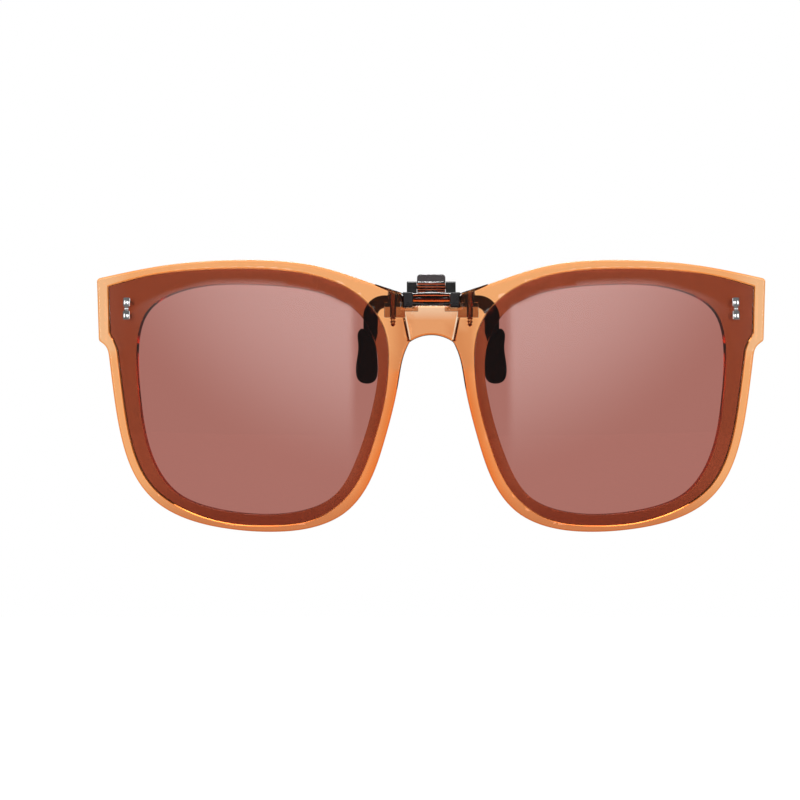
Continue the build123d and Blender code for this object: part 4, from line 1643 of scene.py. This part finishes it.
# ---------------------------------------------------------------- the studio
@dataclass
class Studio:
    """A white room with a soft box in front, a pale floor and a long-lens camera."""

    floor_z: float = -105.0
    floor_side: float = 2400.0
    floor_white: float = 0.8
    floor_gloss: float = 0.9
    floor_glow: float = 0.8
    view_width: float = 176.5
    view_centre: Point = (-6.9, -9.7)
    plane_y: float = -2.5
    focal: float = 250.0
    sensor: float = 36.0
    clip: Range = (0.01, 100.0)
    room: float = 1.0
    beside: float = 0.35
    through_band: Range = (0.15, 0.5)
    front_dim: float = 0.14
    back_dim: float = 0.35
    dim_band: Range = (0.1, 0.8)
    key_height: float = 27.8
    key_level: float = 3.8
    key_spread: Range = (18.0, 38.0)
    key_middle: float = 0.0056
    key_gap: Range = (7.7, 8.9)
    key_top: Range = (11.4, 12.0)
    key_brow: float = 0.334
    brow_curve: Range = (3.9, 2.67)
    top_height: float = 126.0
    top_level: float = 9.0
    top_spread: Range = (6.0, 19.0)
    side_way: float = 53.0
    side_height: float = 6.0
    side_level: float = 3.4
    side_spread: Range = (6.0, 10.0)

    def build(self) -> None:
        """Sets up all of it."""
        scene = bpy.context.scene
        scene.view_settings.view_transform = "Standard"
        self.camera(scene)
        self.room_light(scene)
        self.floor()

    def camera(self, scene: bpy.types.Scene) -> None:
        """The camera, straight in front.

        Args:
            scene: the scene that it looks at.
        """
        distance = self.view_width * self.focal / self.sensor
        x, z = self.view_centre
        bpy.ops.object.camera_add(
            location=(x * MM, (self.plane_y - distance) * MM, z * MM), rotation=(tau / 4, 0, 0)
        )
        scene.camera = bpy.context.object
        scene.camera.data.lens = self.focal
        scene.camera.data.sensor_width = self.sensor
        scene.camera.data.clip_start, scene.camera.data.clip_end = self.clip

    def room_light(self, scene: bpy.types.Scene) -> None:
        """White behind, dimmer in front, with a soft box and a ceiling panel in reflections.

        Args:
            scene: the scene that it lights.
        """
        world = bpy.data.worlds.new("white_room")
        scene.world = world
        world.use_nodes = True
        tree = world.node_tree
        place = tree.nodes.new("ShaderNodeTexCoord")
        parts = tree.nodes.new("ShaderNodeSeparateXYZ")
        tree.links.new(place.outputs["Generated"], parts.inputs["Vector"])
        x, y, z = (parts.outputs[name] for name in "XYZ")
        light = self.ramp(tree, y, self.dim_band, (self.front_dim, self.back_dim))
        lamps = [
            self.key(tree, place, x, z),
            self.panel(tree, place, 0, self.top_height, self.top_spread, self.top_level),
        ]
        for turn in (self.side_way, -self.side_way):
            lamps.append(
                self.panel(tree, place, turn, self.side_height, self.side_spread, self.side_level)
            )
        for lamp in lamps:
            light = self.joined(tree, "ADD", light, lamp)
        through = self.ramp(tree, self.size(tree, y), self.through_band, (self.beside, self.room))
        path = tree.nodes.new("ShaderNodeLightPath")
        depths = (path.outputs[f"{kind} Depth"] for kind in ("Glossy", "Diffuse"))
        bounces = self.joined(tree, "ADD", *depths)
        straight = self.joined(tree, "LESS_THAN", bounces, 0.5)
        straight = self.joined(tree, "MULTIPLY", straight, path.outputs["Is Transmission Ray"])
        level = self.chosen(tree, straight, light, through)
        white = tree.nodes.new("ShaderNodeValue")
        white.outputs[0].default_value = self.room
        level = self.chosen(tree, path.outputs["Is Camera Ray"], level, white.outputs[0])
        tree.links.new(level, tree.nodes["Background"].inputs["Strength"])
        tree.nodes["Background"].inputs["Color"].default_value = (1, 1, 1, 1)

    def key(self, tree: NodeTree, place: ShaderNode, x: NodeSocket, z: NodeSocket) -> NodeSocket:
        """The pair of soft boxes in front: one round glow with a dark middle and a cut-off top.

        Args:
            tree: the world's nodes.
            place: the node that gives the direction looked in.
            x: the direction's x.
            z: the direction's z.

        Returns:
            Its level in the direction looked in.
        """
        glow = self.panel(tree, place, 0, self.key_height, self.key_spread, self.key_level)
        gap = [sin(radians(angle)) for angle in self.key_gap]
        top = [sin(radians(angle)) for angle in self.key_top]
        aside = self.size(tree, self.joined(tree, "SUBTRACT", x, self.key_middle))
        glow = self.joined(tree, "MULTIPLY", glow, self.ramp(tree, aside, gap, (0, 1)))
        off_brow = self.size(tree, self.joined(tree, "SUBTRACT", aside, self.key_brow))
        steepness, bend = self.brow_curve
        drop = self.joined(tree, "MULTIPLY", self.joined(tree, "POWER", off_brow, bend), steepness)
        lid = self.ramp(tree, self.joined(tree, "ADD", z, drop), top, (1, 0))
        return self.joined(tree, "MULTIPLY", glow, lid)

    @staticmethod
    def ramp(tree: NodeTree, value: NodeSocket, taken: Range, given: Range) -> NodeSocket:
        """A smooth step from one level to another as a value goes through a range.

        Args:
            tree: the world's nodes.
            value: what the step follows.
            taken: the range that the value goes through.
            given: the levels at the range's two ends.

        Returns:
            The level.
        """
        step = tree.nodes.new("ShaderNodeMapRange")
        step.interpolation_type = "SMOOTHSTEP"
        for name, number in zip(RANGE_INPUTS, (*taken, *given)):
            step.inputs[name].default_value = number
        tree.links.new(value, step.inputs["Value"])
        return step.outputs["Result"]

    def panel(self, tree: NodeTree, place: ShaderNode, turn: float, height: float, spread: Range,
              level: float) -> NodeSocket:
        """A round light far off, fading at its edge.

        Args:
            tree: the world's nodes.
            place: the node that gives the direction looked in.
            turn: how far to the right of the front it stands, in degrees.
            height: how high it stands, in degrees; past 90 it is behind.
            spread: the angles from its middle where it starts to fade and where it ends.
            level: how bright its middle is.

        Returns:
            Its level in the direction looked in.
        """
        flat, rise = cos(radians(height)), sin(radians(height))
        way = Vector((sin(radians(turn)) * flat, -cos(radians(turn)) * flat, rise))
        dot = tree.nodes.new("ShaderNodeVectorMath")
        dot.operation = "DOT_PRODUCT"
        dot.inputs[1].default_value = way
        tree.links.new(place.outputs["Generated"], dot.inputs[0])
        inner, outer = (cos(radians(angle)) for angle in spread)
        return self.ramp(tree, dot.outputs["Value"], (outer, inner), (0.0, level))

    @staticmethod
    def size(tree: NodeTree, value: NodeSocket) -> NodeSocket:
        """A value without its sign.

        Args:
            tree: the world's nodes.
            value: the value.

        Returns:
            The value's size.
        """
        node = tree.nodes.new("ShaderNodeMath")
        node.operation = "ABSOLUTE"
        tree.links.new(value, node.inputs[0])
        return node.outputs[0]

    @staticmethod
    def joined(
        tree: NodeTree, operation: str, first: NodeSocket, second: NodeSocket | float
    ) -> NodeSocket:
        """A level worked out from a level and another one, or a number.

        Args:
            tree: the world's nodes.
            operation: the sum to do.
            first: the first level.
            second: the other level, or a number.

        Returns:
            The new level.
        """
        node = tree.nodes.new("ShaderNodeMath")
        node.operation = operation
        tree.links.new(first, node.inputs[0])
        if isinstance(second, float):
            node.inputs[1].default_value = second
        else:
            tree.links.new(second, node.inputs[1])
        return node.outputs[0]

    @staticmethod
    def chosen(
        tree: NodeTree, test: NodeSocket, usual: NodeSocket, special: NodeSocket
    ) -> NodeSocket:
        """One level, or another for the rays that pass a test.

        Args:
            tree: the world's nodes.
            test: 1 for the rays that pass.
            usual: the level of the others.
            special: the level of those that pass.

        Returns:
            The level.
        """
        node = tree.nodes.new("ShaderNodeMix")
        tree.links.new(test, node.inputs["Factor"])
        tree.links.new(usual, node.inputs["A"])
        tree.links.new(special, node.inputs["B"])
        return node.outputs["Result"]

    def floor(self) -> None:
        """The pale floor, which glows a little so that it stays as light as the room."""
        bpy.ops.object.select_all(action="DESELECT")
        place = (0, 0, self.floor_z * MM)
        bpy.ops.mesh.primitive_plane_add(size=self.floor_side * MM, location=place)
        floor = named("studio_floor")
        paper = bpy.data.materials.new("floor_paper")
        paper.use_nodes = True
        shader = paper.node_tree.nodes["Principled BSDF"]
        shader.inputs["Base Color"].default_value = (*(self.floor_white,) * 3, 1)
        shader.inputs["Roughness"].default_value = self.floor_gloss
        shader.inputs["Emission Color"].default_value = (1, 1, 1, 1)
        shader.inputs["Emission Strength"].default_value = self.floor_glow
        floor.data.materials.append(paper)
        floor.visible_glossy = False
        floor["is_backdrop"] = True


# ---------------------------------------------------------------- assembly
def dress(finishes: dict[str, Finish]) -> None:
    """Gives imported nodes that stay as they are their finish.

    Args:
        finishes: the finish of each node.
    """
    for name, finish in finishes.items():
        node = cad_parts[name]
        for slot in node.material_slots:
            slot.material = finish.material()
        log.info("%s: kept, in %s", name, finish.name)


def build_front() -> None:
    """The frame, the lenses, the ornaments and the saddle, which flip up together."""
    shell = Shell()
    lens = TintedLens(shell)
    amber = AmberFrame(shell, lens)
    ornament = CornerOrnament(shell)
    screws = SaddleScrews()
    moulding = amber.build(ornament.holes, screws.pilot)
    present(moulding, "flip_front", "amber_plastic", AMBER, "frame_front")
    pane = lens.build(ornament.holes)
    rivet = ornament.build()
    for right, slot, finish, left_name, node in (
        (pane, "tinted_lens", ROSE_TINT, "lens_left_pane", "lens_"),
        (rivet, "bright_metal", BRIGHT_PLATE, "corner_rivet_left", "rivet_"),
    ):
        left = settle(twin(right, left_name))
        present(right, "flip_front", slot, finish, node + "right")
        present(left, "flip_front", slot, finish, node + "left")
    hinge = HingeSaddle(amber, screws)
    saddle = hinge.build()
    present(saddle, "flip_front", "smoke_plastic", SMOKE, "hinge_saddle")
    accent(saddle, DEEP_SMOKE, hinge.is_deep)
    present(screws.build(), "flip_front", "steel", DARK_STEEL, "saddle_screws")


def build_clip() -> None:
    """The housing, both jaws and the lever."""
    present(FlipBarrel().build(), "clip", "smoke_plastic", BARREL_SMOKE, "clip_housing")
    jaws = Jaws()
    present(jaws.front_bar(), "clip", "black_metal", BLACK_COAT, "front_arm_bar")
    present(jaws.rear_bar(), "rear_jaw", "black_metal", BLACK_COAT, "rear_arm_bar")
    for jaw, away, body in (("front", -1, "clip"), ("rear", 1, "rear_jaw")):
        right = jaws.sleeve(f"{jaw}_pad_right", away)
        left = settle(twin(right, f"{jaw}_pad_left"))
        present(right, body, "black_silicone", BLACK_SILICONE, f"{jaw}_sleeve_right")
        present(left, body, "black_silicone", BLACK_SILICONE, f"{jaw}_sleeve_left")
    squeeze = SqueezeLever()
    lever = squeeze.build()
    present(lever, "rear_jaw", "smoke_plastic", DARK_SMOKE, "squeeze_lever")
    # the grooves' faces get the painted glow
    accent(lever, GLOWING_EDGE, squeeze.in_groove)
    TorsionSpring().build()


def corners() -> list[list[float]]:
    """The shown object's lowest and highest corner, as plain lists."""
    return [list(corner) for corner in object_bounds()]


def main() -> None:
    """Builds everything in order."""
    logging.basicConfig(level=logging.INFO, format="%(name)s: %(message)s")
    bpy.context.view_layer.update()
    Studio().build()
    build_front()
    build_clip()
    dress({
        "rivet_washers": CLEAR_WASHER,
        "flip_axle": PIN_STEEL,
        "friction_washer_left": PIN_STEEL,
        "friction_washer_right": PIN_STEEL,
        "housing_rivets": PIN_STEEL,
        "lever_rivets": PIN_STEEL,
        "jaw_axle": PIN_STEEL,
    })


if __name__ == "__main__":
    main()
